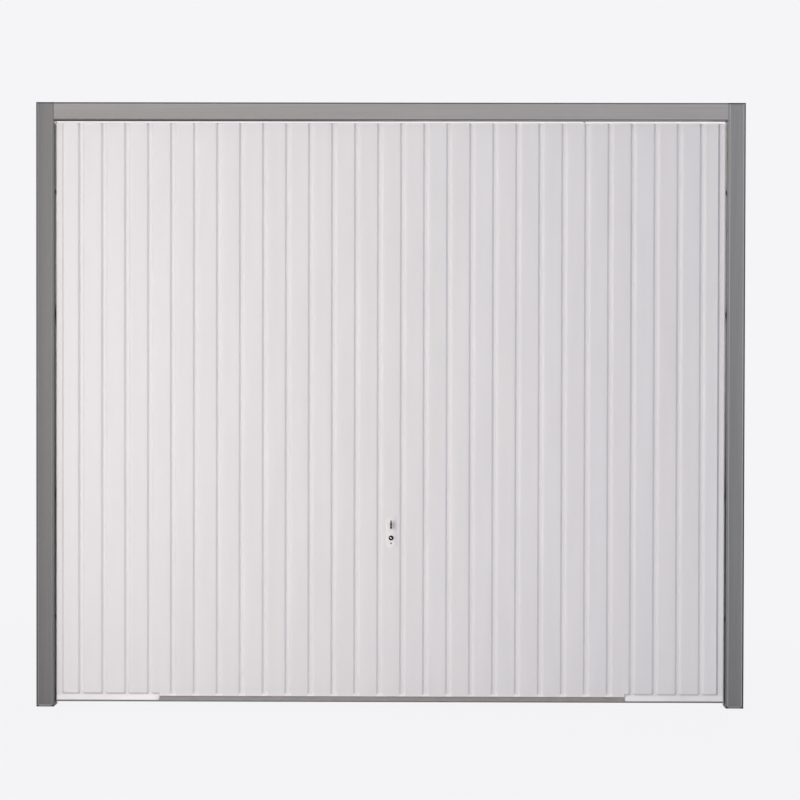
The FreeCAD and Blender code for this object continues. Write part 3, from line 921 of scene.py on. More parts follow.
    def pressing(self, x: Array, z: Array) -> Array:
        """How far the sheet is pressed out, from 0 to 1.

        The rise follows the distance inside each flat's foot. Between the lips the flats run on to the cut,
        and a band along the cut closes the grooves.

        Args:
            x: places across the leaf.
            z: heights, of the same shape.

        Returns:
            The share of the full rise.
        """
        closed = self.slope(self.inside(x, z, self.foot) / self.bevel)
        through = self.slope(self.inside(x, z, self.foot - self.run_under) / self.bevel)
        rail = self.slope((self.cut + self.band + self.bevel - z) / self.bevel)
        between = np.clip(0.5 - self.past_cut(x) / self.cut_blend, 0, 1)
        gap = np.clip(0.5 + (through - rail) / (2 * self.blend), 0, 1)
        joined = through * gap + rail * (1 - gap) + self.blend * gap * (1 - gap)
        return np.maximum(closed, between * np.minimum(joined, 1))

    def columns(self) -> Array:
        """Chooses places across the leaf, close together on the slopes and at the ends of the lips.

        Returns:
            The places, from left to right.
        """
        left, right = self.bounds(self.shift + self.pitch * np.arange(-self.last, self.last + 1))
        near = np.array(self.slope_columns)
        lips = self.cut_half + np.array(self.lip_columns)
        inner = self.edge - self.fold_round
        sides = inner - np.array(self.side_columns)
        middle = (left + right) / 2
        parts = [left[:, None] + near, right[:, None] - near, middle[:, None] + np.array(self.flat_columns)]
        parts += [self.cut_shift + lips, self.cut_shift - lips, sides, -sides]
        places = np.unique(np.concatenate([part.ravel() for part in parts]).round(3))
        places = places[np.abs(places) < inner - self.closest]
        places = places[np.append(True, np.diff(places) > self.closest)]
        return np.concatenate([[-inner], places, [inner]])

    def grid(self) -> tuple[Array, Array]:
        """Lays out the front: level rows down to a line above the feet, then rows that follow the lower edge.

        Returns:
            Places across the leaf and heights, both of the shape (row, column).
        """
        x = self.columns()
        upper = self.start - np.array(self.upper_rows)
        turn = self.foot + self.level_end
        level = np.append(upper, np.linspace(upper[-1], turn, self.level_rows)[1:-1])
        share = np.linspace(0, 1, self.lower_rows)[:, None]
        lower = turn + share * (self.lower_edge(x) - turn)
        z = np.concatenate([np.repeat(level[:, None], len(x), axis=1), lower])
        return np.broadcast_to(x, z.shape), z

    def relief(self, x: Array, z: Array) -> Array:
        """The front's depth: the pressing, the lips' doubled edge and flare, and two waves over the sheet.

        Args:
            x: places across the leaf.
            z: heights, of the same shape.

        Returns:
            y at each place.
        """
        hem = self.on_lip(x) * self.slope((self.lip + self.hem - z) / self.hem_run)
        y = -self.rise * self.pressing(x, z) - self.hem_rise * hem - self.flare * self.flared(x, z)
        (near_x, far_x), (near_z, far_z), (start_x, start_z) = self.wave_x, self.wave_z, self.wave_start
        swell = np.sin(x / near_x + start_x) * np.sin(z / near_z + start_z) + np.sin(x / far_x - z / far_z)
        return y + self.ripple * swell

    def tones(self, x: Array, z: Array) -> Array:
        """The painted light and shade: what the top fold, the lips, the feet, the bends and the sides add to
        the paint.

        A bend adds most halfway up its slope, and what a side adds dies away from the edge.

        Args:
            x: places across the leaf.
            z: heights, of the same shape.

        Returns:
            The tone at each place.
        """
        pressed, lip = self.pressing(x, z), self.on_lip(x)
        tone = np.where(z >= self.start - self.fold_line, self.fold_tone, 0.0)
        tone = tone + self.flare_tone * np.minimum(self.flare_gain * self.flared(x, z), 1)
        tone = tone + self.lip_tone * lip * np.clip((self.foot - z) / self.lip_fade, 0, 1)
        left, right = self.bounds(x)
        on_flat = (x > left + self.bevel) & (x < right - self.bevel)
        foot = np.clip((self.cut + self.band + self.bevel - z) / self.bevel, 0, 1) * (self.past_cut(x) < 0)
        tone = tone + foot * np.where(on_flat, self.flat_foot_tone, self.groove_foot_tone)
        at_end = lip * (z < self.foot + self.end_reach) > 0.5
        tone = tone + np.where(at_end, self.end_tone, self.bend_tone) * 4 * pressed * (1 - pressed)
        side = np.where(x < 0, *self.side_tones)
        return tone + side * np.exp((np.abs(x) - self.edge) / self.side_reach)

    def surface(self) -> Shell:
        """The front as a depth over a grid of x and z, with the folds as further rows and columns.

        Returns:
            The open surface.
        """
        x, z = self.grid()
        parts = (x, self.relief(x, z), z, self.tones(x, z))
        x, y, z, tone = (np.pad(part, ((2, 0), (2, 2)), mode="edge") for part in parts)
        folds = np.array([self.fold, self.fold_round])
        z[:2, 2:-2] = self.top
        y[0, 2:-2] = self.fold
        y[1, 2:-2] += self.fold_round
        x[:, :2] = -self.edge
        x[:, -2:] = self.edge
        y[2:, :2] = folds
        y[2:, -2:] = folds[::-1]
        rows, count = z.shape
        index = np.arange(rows * count).reshape(rows, count)
        quads = np.stack([index[:-1, :-1], index[1:, :-1], index[1:, 1:], index[:-1, 1:]], axis=-1)
        keep = np.ones(quads.shape[:2], bool)
        keep[:2, :2] = False
        keep[:2, -2:] = False
        used, faces = np.unique(quads[keep], return_inverse=True)
        points = np.stack([x, y, z], axis=-1).reshape(-1, 3)[used]
        return Shell(points, faces.reshape(-1, 4), [], tone.ravel()[used])

    def build(self) -> None:
        """Makes the sheet, its thickness and its two coatings."""
        mesh = self.surface().mesh("pressed_sheet", closed=False, crease=50)
        made = add_piece(mesh, COIL_COAT, Body.LEAF, "door_skin")
        mesh.materials.append(PRIMER.material())
        wall = made.modifiers.new("sheet", "SOLIDIFY")
        wall.thickness = self.thickness * MM
        wall.offset = -1.0
        wall.material_offset = 1
        wall.material_offset_rim = 0


@dataclass(frozen=True)
class FaceTones:
    """Painted light and shade of a frame member: along its face's two edges, on its raised lines, and a band
    of painted shade on the side after the face.

    The last field is where that shade starts behind the face, in millimetres.
    """

    edges: Pair
    beads: float
    inner_shade: float
    inner_shade_start: float


@dataclass(frozen=True)
class LegLook:
    """A leg's paint and painted tones, how much painted shade deepens down its length, and the share of the
    inner side's painted shade at the leg's top.
    """

    paint: Finish
    tones: FaceTones
    fall: float
    inner_shade_top: float


@dataclass
class RolledFrame:
    """Legs, header and feet: rolled box sections with a raised line along each edge of the face."""

    radius: float = 2.0
    # Painted shade along the face's edges.
    edge: float = 4.0  # toned line along each edge of a face
    edge_fade: float = 0.6
    # Raised lines near each edge of the face, which carry a painted highlight.
    bead_inset: float = 7.1
    bead_width: float = 4.6
    bead_rise: float = 0.9
    # Band of painted shade on the side after the face: its end and its fade.
    inner_shade_end: float = 34.0
    inner_shade_fade: float = 0.8
    top_line: float = 4.0  # dark line around a leg's top
    top_tone: float = -0.85
    even_share: float = 0.4  # share of a leg's height where the paint has its own tone
    # Each leg's paint copy carries painted shade (left) or painted light (right), and painted shade deepens
    # down each leg.
    left_leg: LegLook = LegLook(LEG_PAINT_LEFT_PAINTED_SHADE, FaceTones((-0.85, 0.05), 0.6, -0.9, 12.0), 0.16, 0.45)
    right_leg: LegLook = LegLook(LEG_PAINT_RIGHT_PAINTED_LIGHT, FaceTones((-0.8, -0.1), 0.6, -0.95, 6.0), 0.36, 1.0)
    # The header: painted shade along its face's edges and on its underside, and a faint painted highlight on
    # its raised lines.
    header_tones: FaceTones = FaceTones((-0.85, -0.65), 0.18, -0.9, 0.6)
    # Painted light across the header: its tone rises from left to right.
    header_painted_light_gradient: Pair = (-0.05, 0.24)
    foot_round: float = 0.8
    # Painted highlight on a foot cap's upper rim: its height under the top, and the tones above and below it.
    foot_highlight_height: float = 3.8  # pale height under a foot cap's top
    foot_highlight_tones: Pair = (0.6, -0.1)
    # Darker towards a foot cap's corners.
    corner_dark_tone: float = -1.3
    corner_dark_reach: float = 7.0
    bolt_heights: Pair = (-300.0, -1750.0)
    cover_radius: float = 8.0
    rivet_radius: float = 5.0
    rivet_insets: Pair = (14.0, 36.0)  # from the header's end
    rivet_heights: Pair = (-16.0, -44.0)

    def look(self, side: Side) -> LegLook:
        """How a leg looks: the left one darker, as photographed, its paint carrying painted shade, and the
        right one's paint carrying painted light.
        """
        return self.left_leg if side is Side.LEFT else self.right_leg

    def section(self, size: Pair, tones: FaceTones) -> tuple[Array, Array, Array]:
        """The rolled section around its middle, with its face on the side of negative depth.

        Each raised line is a squared cosine across its width, with a painted highlight on it. The face has a
        line of painted shade along each edge, and the side after the face carries a band of painted shade.

        Args:
            size: width of the face and depth.
            tones: painted light and shade along the face and the side after it.

        Returns:
            The loop of points, the tone of each, and the painted shade that the side after the face adds to
            it.
        """
        width, depth = size
        turn = np.linspace(0, np.pi / 2, 5)
        signs = np.array([(-1, -1), (1, -1), (1, 1), (-1, 1)])
        angle = turn + np.pi + np.arange(4)[:, None] * np.pi / 2
        middles = signs * (width / 2 - self.radius, depth / 2 - self.radius)
        arcs = middles[:, None] + self.radius * np.stack([np.cos(angle), np.sin(angle)], axis=-1)
        across = np.linspace(-1, 1, 9)
        swell = np.cos(np.pi / 2 * across) ** 2
        rise = np.concatenate([[0, 0], swell, [0], swell, [0, 0]])
        bead = self.bead_inset + across * self.bead_width / 2
        half = np.concatenate([[self.edge, self.edge + self.edge_fade], bead]) - width / 2
        face = np.concatenate([half, [0], -half[::-1]])
        front = np.stack([face, -depth / 2 - self.bead_rise * rise], axis=1)
        fade = np.array([0, self.inner_shade_fade])
        reach = np.concatenate([tones.inner_shade_start + fade, self.inner_shade_end + fade]) + self.radius
        strip = np.stack([np.full(4, width / 2), reach - depth / 2], axis=1)
        loop = np.concatenate([arcs[0], front, arcs[1], strip, arcs[2], arcs[3]])
        # Painted highlights on the raised lines and painted shade at the face's edges.
        shade = tones.beads * rise
        shade[[0, -1]] = tones.edges
        first, last = (np.full(len(turn), tone) for tone in tones.edges)
        tone = np.zeros(len(loop))
        inner_shade_start = 2 * len(turn) + len(front)
        tone[: inner_shade_start + 1] = np.concatenate([first, shade, last, [tones.edges[1]]])
        # Painted shade on the side after the face.
        inner_shade = np.zeros(len(loop))
        inner_shade[inner_shade_start + 1 : inner_shade_start + 3] = tones.inner_shade
        return loop, tone, inner_shade

    def leg(self, side: Side) -> Shell:
        """A leg: its section carried up from the foot, dark around the top, with painted light high up that
        turns to painted shade further down.

        Args:
            side: the side of the doorway.

        Returns:
            The closed surface.
        """
        look = self.look(side)
        low, high = corners("left_leg")
        loop, tone, inner_shade = self.section(tuple((high - low)[:2]), look.tones)
        rows = np.append(np.linspace(low[2], -self.top_line - 1, 16), [-self.top_line, 0.0])
        share = (rows / low[2])[:, None]
        # Painted light high on the leg turning to painted shade low down, and the inner side's painted shade
        # deepening downwards.
        tones = tone + look.fall * (self.even_share - share)
        tones = tones + inner_shade * (look.inner_shade_top + (1 - look.inner_shade_top) * share)
        tones[-2:] = np.minimum(tones[-2:], self.top_tone)
        made = carried(Axis.Z, loop + middle_of("left_leg")[:2], rows, tones)
        return made if side is Side.LEFT else made.on(Side.LEFT)

    def header(self) -> Shell:
        """The header: its section carried across between the legs, its face's first edge on top.

        Returns:
            The closed surface.
        """
        low, high = corners("header")
        loop, tone, inner_shade = self.section((high[2] - low[2], high[1] - low[1]), self.header_tones)
        section = np.stack([loop[:, 1], -loop[:, 0]], axis=1) + middle_of("header")[1:]
        rows = np.linspace(low[0], high[0], 20)
        # Painted light: the header's tone rises from left to right.
        drift = np.linspace(*self.header_painted_light_gradient, len(rows))
        return carried(Axis.X, section, rows, tone + inner_shade + drift[:, None])

    def foot(self, side: Side) -> Shell:
        """A moulded cap under a leg: a rounded plate with a painted highlight along its upper rim, black
        towards its corners.

        Args:
            side: the side of the doorway.

        Returns:
            The closed surface.
        """
        low, high = corners(f"{side.word}_foot")
        width, depth, height = high - low
        rim = height - self.foot_highlight_height
        edge = self.foot_round
        loops = [(0, edge), (0.6, 0), (rim - 0.4, 0), (rim + 0.2, 0), (height - edge, 0), (height, edge)]
        made = plate(Axis.Z, loops, (width, depth), self.radius, straight=14)
        x, y, z = made.points.T
        corner = np.hypot(width / 2 - np.abs(x), depth / 2 - np.abs(y))
        # Darker towards each corner.
        corner_dark = np.clip(1.5 - corner / self.corner_dark_reach, 0, 0.8)
        # A painted highlight above the rim, and darker towards each corner.
        made.tone = np.where(z > rim, *self.foot_highlight_tones) + self.corner_dark_tone * corner_dark
        return made.at([(*((low + high) / 2)[:2], low[2])])

    def build(self) -> None:
        """Makes the legs, the feet, the header, its rivets and the covers of the wall bolts."""
        for side in Side:
            word = side.word
            self.leg(side).add(f"{word}_rolled_leg", self.look(side).paint, Body.FRAME, f"{word}_leg")
            self.foot(side).add(f"{word}_foot_cap", FOOT_PLASTIC, Body.FRAME, f"{word}_foot")
        self.header().add("rolled_header", HEADER_PAINT_PAINTED_LIGHT, Body.FRAME, "header")
        low, high = corners("right_leg")
        y = middle_of("right_leg")[1]
        inner = rivet(Axis.X, self.cover_radius, -1).at([(low[0], y, z) for z in self.bolt_heights])
        outer = rivet(Axis.X, self.cover_radius).at([(high[0], y, z) for z in self.bolt_heights])
        Shell.join(inner, outer).both_sides().add("wall_bolt_covers", FOOT_PLASTIC, Body.FRAME)
        end, back, _ = corners("header")[1]
        places = [(end - inset, back, z) for inset in self.rivet_insets for z in self.rivet_heights]
        rivet(Axis.Y, self.rivet_radius).at(places).both_sides().add("header_rivets", ZINC, Body.FRAME)


@dataclass
class Counterbalance:
    """The spring, its shaft, the drums and the lift cables."""

    shaft_y: float = 90.0
    shaft_z: float = -26.0
    shaft_radius: float = 10.0
    shaft_bore: float = 7.0
    spring_radius: float = 19.5  # to the middle of the wire
    wire: float = 2.45
    wire_pitch: float = 5.0
    rope_radius: float = 1.5
    rope_lay: float = 18.0
    rope_rows: int = 8  # in one lay
    strands: int = 6
    strand_depth: float = 0.2  # dip between strands, as a share of the rope's radius
    # Painted shade in the dips between the strands.
    strand_gap_shade: float = 0.55
    wound_radius: float = 22.0
    wound_pitch: float = 3.2
    wound_turns: Pair = (0.5, -1.1)
    drum_middle: float = 6.0
    plug_screws: float = 44.0  # behind the spring's end
    plug_skin: float = 20.5
    hub_screw: float = 2.5  # before a drum's inner face
    hub_skin: float = 14.0
    bush_x: float = 1149.9
    anchor_bolt: float = 10.0  # across the flats
    bracket_bolt: float = 7.0
    anchor_bolts: Pair = (-26.0, 26.0)
    bolt_heights: Pair = (-14.0, -38.0)
    anchor_face: float = 24.0
    bracket_bolt_x: float = 1160.2
    bracket_face: float = 54.0

    def __post_init__(self) -> None:
        """Takes the spring's length and the drums' inner faces from their solids."""
        self.spring_end = corners("torsion_spring")[1][0]
        self.drum_start = corners("right_cable_drum")[0][0]

    def on_shaft(self, shell: Shell, x: float = 0.0) -> Shell:
        """Moves a surface from the origin to a place on the shaft's axis."""
        return shell.at([(x, self.shaft_y, self.shaft_z)])

    def shaft(self) -> Shell:
        """The tube between the drums, turned around its axis.

        Returns:
            The closed surface.
        """
        reach = self.drum_start
        profile = [(-reach, self.shaft_bore), (-reach, self.shaft_radius), (reach, self.shaft_radius)]
        return self.on_shaft(turned(Axis.X, profile + [(reach, self.shaft_bore)], 40, ring=True))

    def spring(self) -> Shell:
        """The close wound coil, one wire's width a turn."""
        turns = (0.0, (self.spring_end - 2 * self.wire) / self.wire_pitch)
        return self.on_shaft(coil(self.spring_radius, self.wire, self.wire_pitch, turns), self.wire)

    def rope(self, side: Side) -> Shell:
        """A lift cable: a section with a cosine bulge for each strand, which turns once in each lay.

        Args:
            side: the side of the doorway.

        Returns:
            The closed surface, with painted shade between the strands.
        """
        low, high = corners(f"{side.word}_lift_cable")
        x, y, _ = (low + high) / 2
        z = np.arange(low[2], high[2], self.rope_lay / self.rope_rows)
        z[-1] = high[2]
        count = 4 * self.strands
        around = np.arange(count) * 2 * np.pi / count
        bulge = np.abs(np.cos(self.strands / 2 * around))
        radius = self.rope_radius * (1 - self.strand_depth + self.strand_depth * bulge)
        angle = around + 2 * np.pi * z[:, None] / self.rope_lay
        rings = [x + radius * np.cos(angle), y + radius * np.sin(angle), z[:, None] + 0 * angle]
        return Shell.loft(np.stack(rings, axis=-1), self.strand_gap_shade * (bulge - 1))

    def drum(self) -> Shell:
        """The right drum, turned from a profile: a hub, a grooved core and a flange at its outer end.

        The grooves follow a squared cosine along the core.

        Returns:
            The closed surface.
        """
        share = np.linspace(0, 1, 33)
        grooves = np.stack([0.8 + 8 * share, 20.2 - 0.6 * np.cos(4 * np.pi * share) ** 2], axis=1)
        hub = [(-5, 10.2), (-5, 14.2), (-4.4, 14.8), (0, 14.8), (0, 19.6), (0.5, 20.1)]
        flange = [(9.3, 20.2), (10, 20.9), (10, 23.5), (10.5, 24), (11.5, 24), (12, 23.5), (12, 17)]
        end = [(11, 15.5), (11, 6), (11.6, 5), (11.6, 0.5)]
        profile = np.concatenate([hub, grooves, flange, end])
        return self.on_shaft(turned(Axis.X, profile, 48), self.drum_start)

    def wound_rope(self) -> Shell:
        """The turns of the right cable that stay on the drum, from where the cable runs off it."""
        made = coil(self.wound_radius, self.rope_radius, -self.wound_pitch, self.wound_turns, 48)
        return self.on_shaft(made, self.drum_start + self.drum_middle)

    def plug(self) -> Shell:
        """The plug at the spring's free end, turned from a profile: a flange at the coil, a waist and a hub.

        Returns:
            The closed surface.
        """
        flange = [(0, 10.1), (0, 21.4), (0.6, 22), (6, 22), (8, 20), (12, 18.6)]
        hub = [(26, 18.6), (30, 20), (32, 21.4), (56, 21.4), (59, 20.4), (60, 19), (60, 10.1)]
        return self.on_shaft(turned(Axis.X, flange + hub, 48, ring=True), self.spring_end)

    def set_screws(self) -> Shell:
        """Turned square heads behind and below the plug's hub, and a turned hexagon on each drum's hub.

        Returns:
            The closed surfaces.
        """
        x, y, z = self.spring_end + self.plug_screws, self.shaft_y, self.shaft_z
        back = turned(Axis.Y, [(0, 4), (7, 4), (8, 3.2)], 24, flats=4).at([(x, y + self.plug_skin, z)])
        down = turned(Axis.Z, [(0, 4), (-7, 4), (-8, 3.2)], 24, flats=4).at([(x, y, z - self.plug_skin)])
        hub = turned(Axis.Y, [(0, 3), (4, 3), (4.6, 2.4)], 24, flats=6)
        hub = hub.at([(self.drum_start - self.hub_screw, y + self.hub_skin, z)])
        return Shell.join(back, down, hub.both_sides())

    def fixings(self) -> None:
        """Makes the bushes and the bolts of the shaft's brackets."""
        bush = [(-1.6, 10.2), (-1.6, 14), (0, 14.6), (5.6, 14), (5.6, 10.2)]
        bush = self.on_shaft(turned(Axis.X, bush, 40, ring=True), self.bush_x)
        bush.both_sides().add("shaft_bushes", NYLON, Body.FRAME)
        anchor = [(x, self.anchor_face, z) for x in self.anchor_bolts for z in self.bolt_heights]
        ends = [(self.bracket_bolt_x, self.bracket_face, z) for z in self.bolt_heights]
        ends = bolt(Axis.Y, self.bracket_bolt).at(ends).both_sides()
        bolts = Shell.join(bolt(Axis.Y, self.anchor_bolt).at(anchor), ends)
        bolts.add("shaft_bracket_bolts", ZINC, Body.FRAME)

    def build(self) -> None:
        """Makes and dresses the counterbalance."""
        self.shaft().add("shaft_tube", ZINC, Body.FRAME, "spring_shaft")
        self.spring().add("wound_spring", SPRING_STEEL, Body.FRAME, "torsion_spring")
        self.plug().add("winding_plug", CAST_ALLOY, Body.FRAME, "winding_cone")
        self.set_screws().add("set_screws", ZINC, Body.FRAME)
        for side in Side:
            word = side.word
            self.drum().on(side).add(f"{word}_grooved_drum", CAST_ALLOY, Body.FRAME, f"{word}_cable_drum")
            rope = self.rope(side).add(f"{word}_wire_rope", WIRE_ROPE, Body.FRAME, f"{word}_lift_cable")
            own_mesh(rope)
            soften(f"{word}_shaft_bracket", GALVANISED, Body.FRAME)
        self.wound_rope().both_sides().add("rope_on_drums", WIRE_ROPE, Body.FRAME)
        soften("spring_anchor_bracket", GALVANISED, Body.FRAME)
        self.fixings()


@dataclass
class LiftingGear:
    """Tracks, pivots, arms, brackets and rollers."""

    track_slot: float = 16.0
    track_wall: float = 2.0
    track_bend: float = 2.2
    arm_width: float = 25.0
    ear_out: float = 1130.0  # outer face of the ears on the leaf
    spacer_gap: float = 0.2
    seam_weld: Pair = (42.0, 2.4)  # length and radius
    plate_weld: Pair = (26.0, 2.0)
    seam_inset: float = 0.4
    plate_inset: float = 2.2
    weld_heights: Pair = (-150.0, -1390.0)
    weld_count: int = 6
    bolt_size: float = 7.0
    bolt_columns: Pair = (1104.0, 1115.0)
    bolt_reach: float = 28.0  # above and below a pin
    flange_back: float = 41.0

    def __post_init__(self) -> None:
        """Takes the pins from the joints: the roller is as far below the lower pin as the upper is above."""
        self.pivot = joint_place("door_lift")[1:]
        self.pin = joint_place("leaf_pivot")[1:]
        self.wheel = np.array([self.pivot[0], 2 * self.pin[1] - self.pivot[1]])

    def track(self) -> Shell:
        """The right track: a roll formed channel with two lips, carried up the leg.

        Returns:
            The closed surface.
        """
        low, high = corners("right_track")
        mouth, near = low[:2] + self.track_wall / 2
        back, far = high[:2] - self.track_wall / 2
        front_lip, back_lip = middle_of("right_track")[1] + self.track_slot / 2 * np.array([-1, 1])
        line = [(mouth, front_lip), (mouth, near), (back, near), (back, far), (mouth, far), (mouth, back_lip)]
        return carried(Axis.Z, bent_strip(line, self.track_wall, self.track_bend), [low[2], high[2]])

    def arm(self) -> Shell:
        """The right arm: a flat bar with round ends and broken edges, leaning back from its upper pin.

        Returns:
            The closed surface.
        """
        low, high = corners("right_lift_arm")
        drop = self.pin - self.pivot
        length, thick = float(np.hypot(*drop)), high[0] - low[0]
        loops = [(0, 0.9), (0.4, 0.3), (1.0, 0), (thick - 1.0, 0), (thick - 0.4, 0.3), (thick, 0.9)]
        bar = plate(Axis.X, loops, (self.arm_width, length + self.arm_width), self.arm_width / 2 - 0.1)
        lean = math.degrees(math.asin(drop[0] / length))
        return bar.spun(Axis.X, lean).at([(low[0], *(self.pivot + drop / 2))])

    def roller(self) -> Shell:
        """The right roller, turned from a profile: a crowned tyre, a sunk web and a hub around its bore.

        Returns:
            The closed surface.
        """
        hub = [(0, 5.2), (0, 8.6), (0.5, 9), (1.6, 9.4), (1.6, 11.6)]
        half = hub + [(0.4, 12.4), (0.2, 14), (0.9, 15), (2.6, 15.4)]
        profile = half + [(6, 15.5)] + [(12 - a, r) for a, r in reversed(half)]
        place = (corners("right_track_roller")[0][0], *self.wheel)
        return turned(Axis.X, profile, 48, ring=True).at([place])

    def spacers(self) -> Shell:
        """Turned tubes on the right pin and spindle that keep the arm and the roller off the leaf's ears.

        Returns:
            The closed surfaces.
        """
        pin = [(0, 6.2), (0, 9), (0.6, 9.6), (18.4, 9.6), (19, 9), (19, 6.2)]
        spindle = [(0, 5.1), (0, 6.8), (0.6, 7.2), (38.4, 7.2), (39, 6.8), (39, 5.1)]
        start = self.ear_out + self.spacer_gap
        on_pin = turned(Axis.X, pin, 32, ring=True).at([(start, *self.pin)])
        return Shell.join(on_pin, turned(Axis.X, spindle, 32, ring=True).at([(start, *self.wheel)]))

    def welds(self) -> Shell:
        """Short beads along both edges of the right track and down the edge of the pivot plate.

        Returns:
            The closed surfaces.
        """
        low, high = corners("right_track")
        heights = np.linspace(*self.weld_heights, self.weld_count)
        edges = (low[0] + self.seam_inset, high[0] - self.seam_inset)
        seams = weld(Axis.Z, *self.seam_weld).at([(x, low[1], z) for x in edges for z in heights])
        place = (low[0], high[1] - self.plate_inset, self.pivot[1])
        return Shell.join(seams, weld(Axis.Z, *self.plate_weld).at([place]))

    def build(self) -> None:
        """Makes and dresses the gear of both sides."""
        for side in Side:
            word = side.word
            self.track().on(side).add(f"{word}_formed_track", GALVANISED, Body.FRAME, f"{word}_track")
            self.arm().on(side).add(f"{word}_arm_bar", ZINC, Body.ARMS, f"{word}_lift_arm")
            self.roller().on(side).add(f"{word}_nylon_roller", NYLON, Body.LEAF, f"{word}_track_roller")
            soften(f"{word}_pivot_bracket", ZINC, Body.FRAME)
            soften(f"{word}_arm_bracket", GALVANISED, Body.LEAF)
            soften(f"{word}_roller_bracket", GALVANISED, Body.LEAF)
        self.spacers().both_sides().add("pin_spacers", ZINC, Body.LEAF)
        self.welds().both_sides().add("track_welds", WELD_PAINT, Body.FRAME)
        reach = (-self.bolt_reach, self.bolt_reach)
        heights = [pin[1] + move for pin in (self.pin, self.wheel) for move in reach]
        places = [(x, self.flange_back, z) for x in self.bolt_columns for z in heights]
        bolt(Axis.Y, self.bolt_size).at(places).both_sides().add("leaf_bracket_bolts", ZINC, Body.LEAF)


@dataclass
class LeafChassis:
    """Rails and stiles behind the sheet: channels with a groove rolled along the back."""

    wall: float = 1.2
    bend: float = 2.0
    groove: float = 18.0
    groove_floor: float = 9.0
    groove_depth: float = 3.0
    weld_size: Pair = (34.0, 2.2)  # length and radius
    weld_sinks: Pair = (0.8, 0.6)  # into the backs of the upper rails and of the bottom rail
    foot_weld: float = 20.0  # from the bottom rail's end
    rail_round: float = 2.4
    # Painted shade along the bottom rail's lower edge.
    rail_edge: float = 3.5  # dark lower edge of the bottom rail
    rail_edge_shade: float = -0.5

    def channel(self, middle: float, width: float, front: float, back: float) -> Array:
        """The section of a channel that is open to the front.

        Args:
            middle: of its width.
            width: across.
            front: place of its two free edges.
            back: place of its outer back.

        Returns:
            The closed section, across the width and front to back.
        """
        half = width / 2 - self.wall / 2
        web = back - self.wall / 2
        low = web - self.groove_depth
        side = [(half, front), (half, web), (self.groove / 2, web), (self.groove_floor / 2, low)]
        line = [(middle - a, b) for a, b in side] + [(middle + a, b) for a, b in reversed(side)]
        return bent_strip(line, self.wall, self.bend)

    def bottom_rail(self) -> Shell:
        """The rail under the sheet: a rounded box section carried across the leaf, with painted shade along
        its lower edge.

        Returns:
            The closed surface.
        """
        low, high = corners("bottom_rail")
        loop = rounded_loop(high[1] - low[1], high[2] - low[2], self.rail_round, straight=10)
        section = loop + middle_of("bottom_rail")[1:]
        # Painted shade along the lower edge.
        tone = np.where(section[:, 1] < low[2] + self.rail_edge, self.rail_edge_shade, 0.0)
        return carried(Axis.X, section, [low[0], high[0]], tone)

    def build(self) -> None:
        """Makes and dresses the chassis."""
        joints = []
        for node in ("top_rail", "upper_rail", "middle_rail", "lock_rail"):
            low, high = corners(node)
            z = middle_of(node)[2]
            section = self.channel(z, high[2] - low[2], low[1], high[1])[:, ::-1]
            rail = carried(Axis.X, section, [low[0], high[0]])
            rail.add(f"formed_{node}", GALVANISED, Body.LEAF, node)
            joints.append((high[0], high[1] - self.weld_sinks[0], z))
        for side in Side:
            node = f"{side.word}_stile"
            low, high = corners(node)
            section = self.channel(middle_of(node)[0], high[0] - low[0], low[1], high[1])
            stile = carried(Axis.Z, section, [low[2], high[2]])
            stile.add(f"formed_{node}", GALVANISED, Body.LEAF, node)
        self.bottom_rail().add("formed_bottom_rail", RAIL_PAINT, Body.LEAF, "bottom_rail")
        end, back, top = corners("bottom_rail")[1]
        feet = [(end - self.foot_weld, back - self.weld_sinks[1], top)]
        beads = Shell.join(weld(Axis.Z, *self.weld_size).at(joints), weld(Axis.X, *self.weld_size).at(feet))
        beads.both_sides().add("chassis_welds", WELD_PAINT, Body.LEAF)


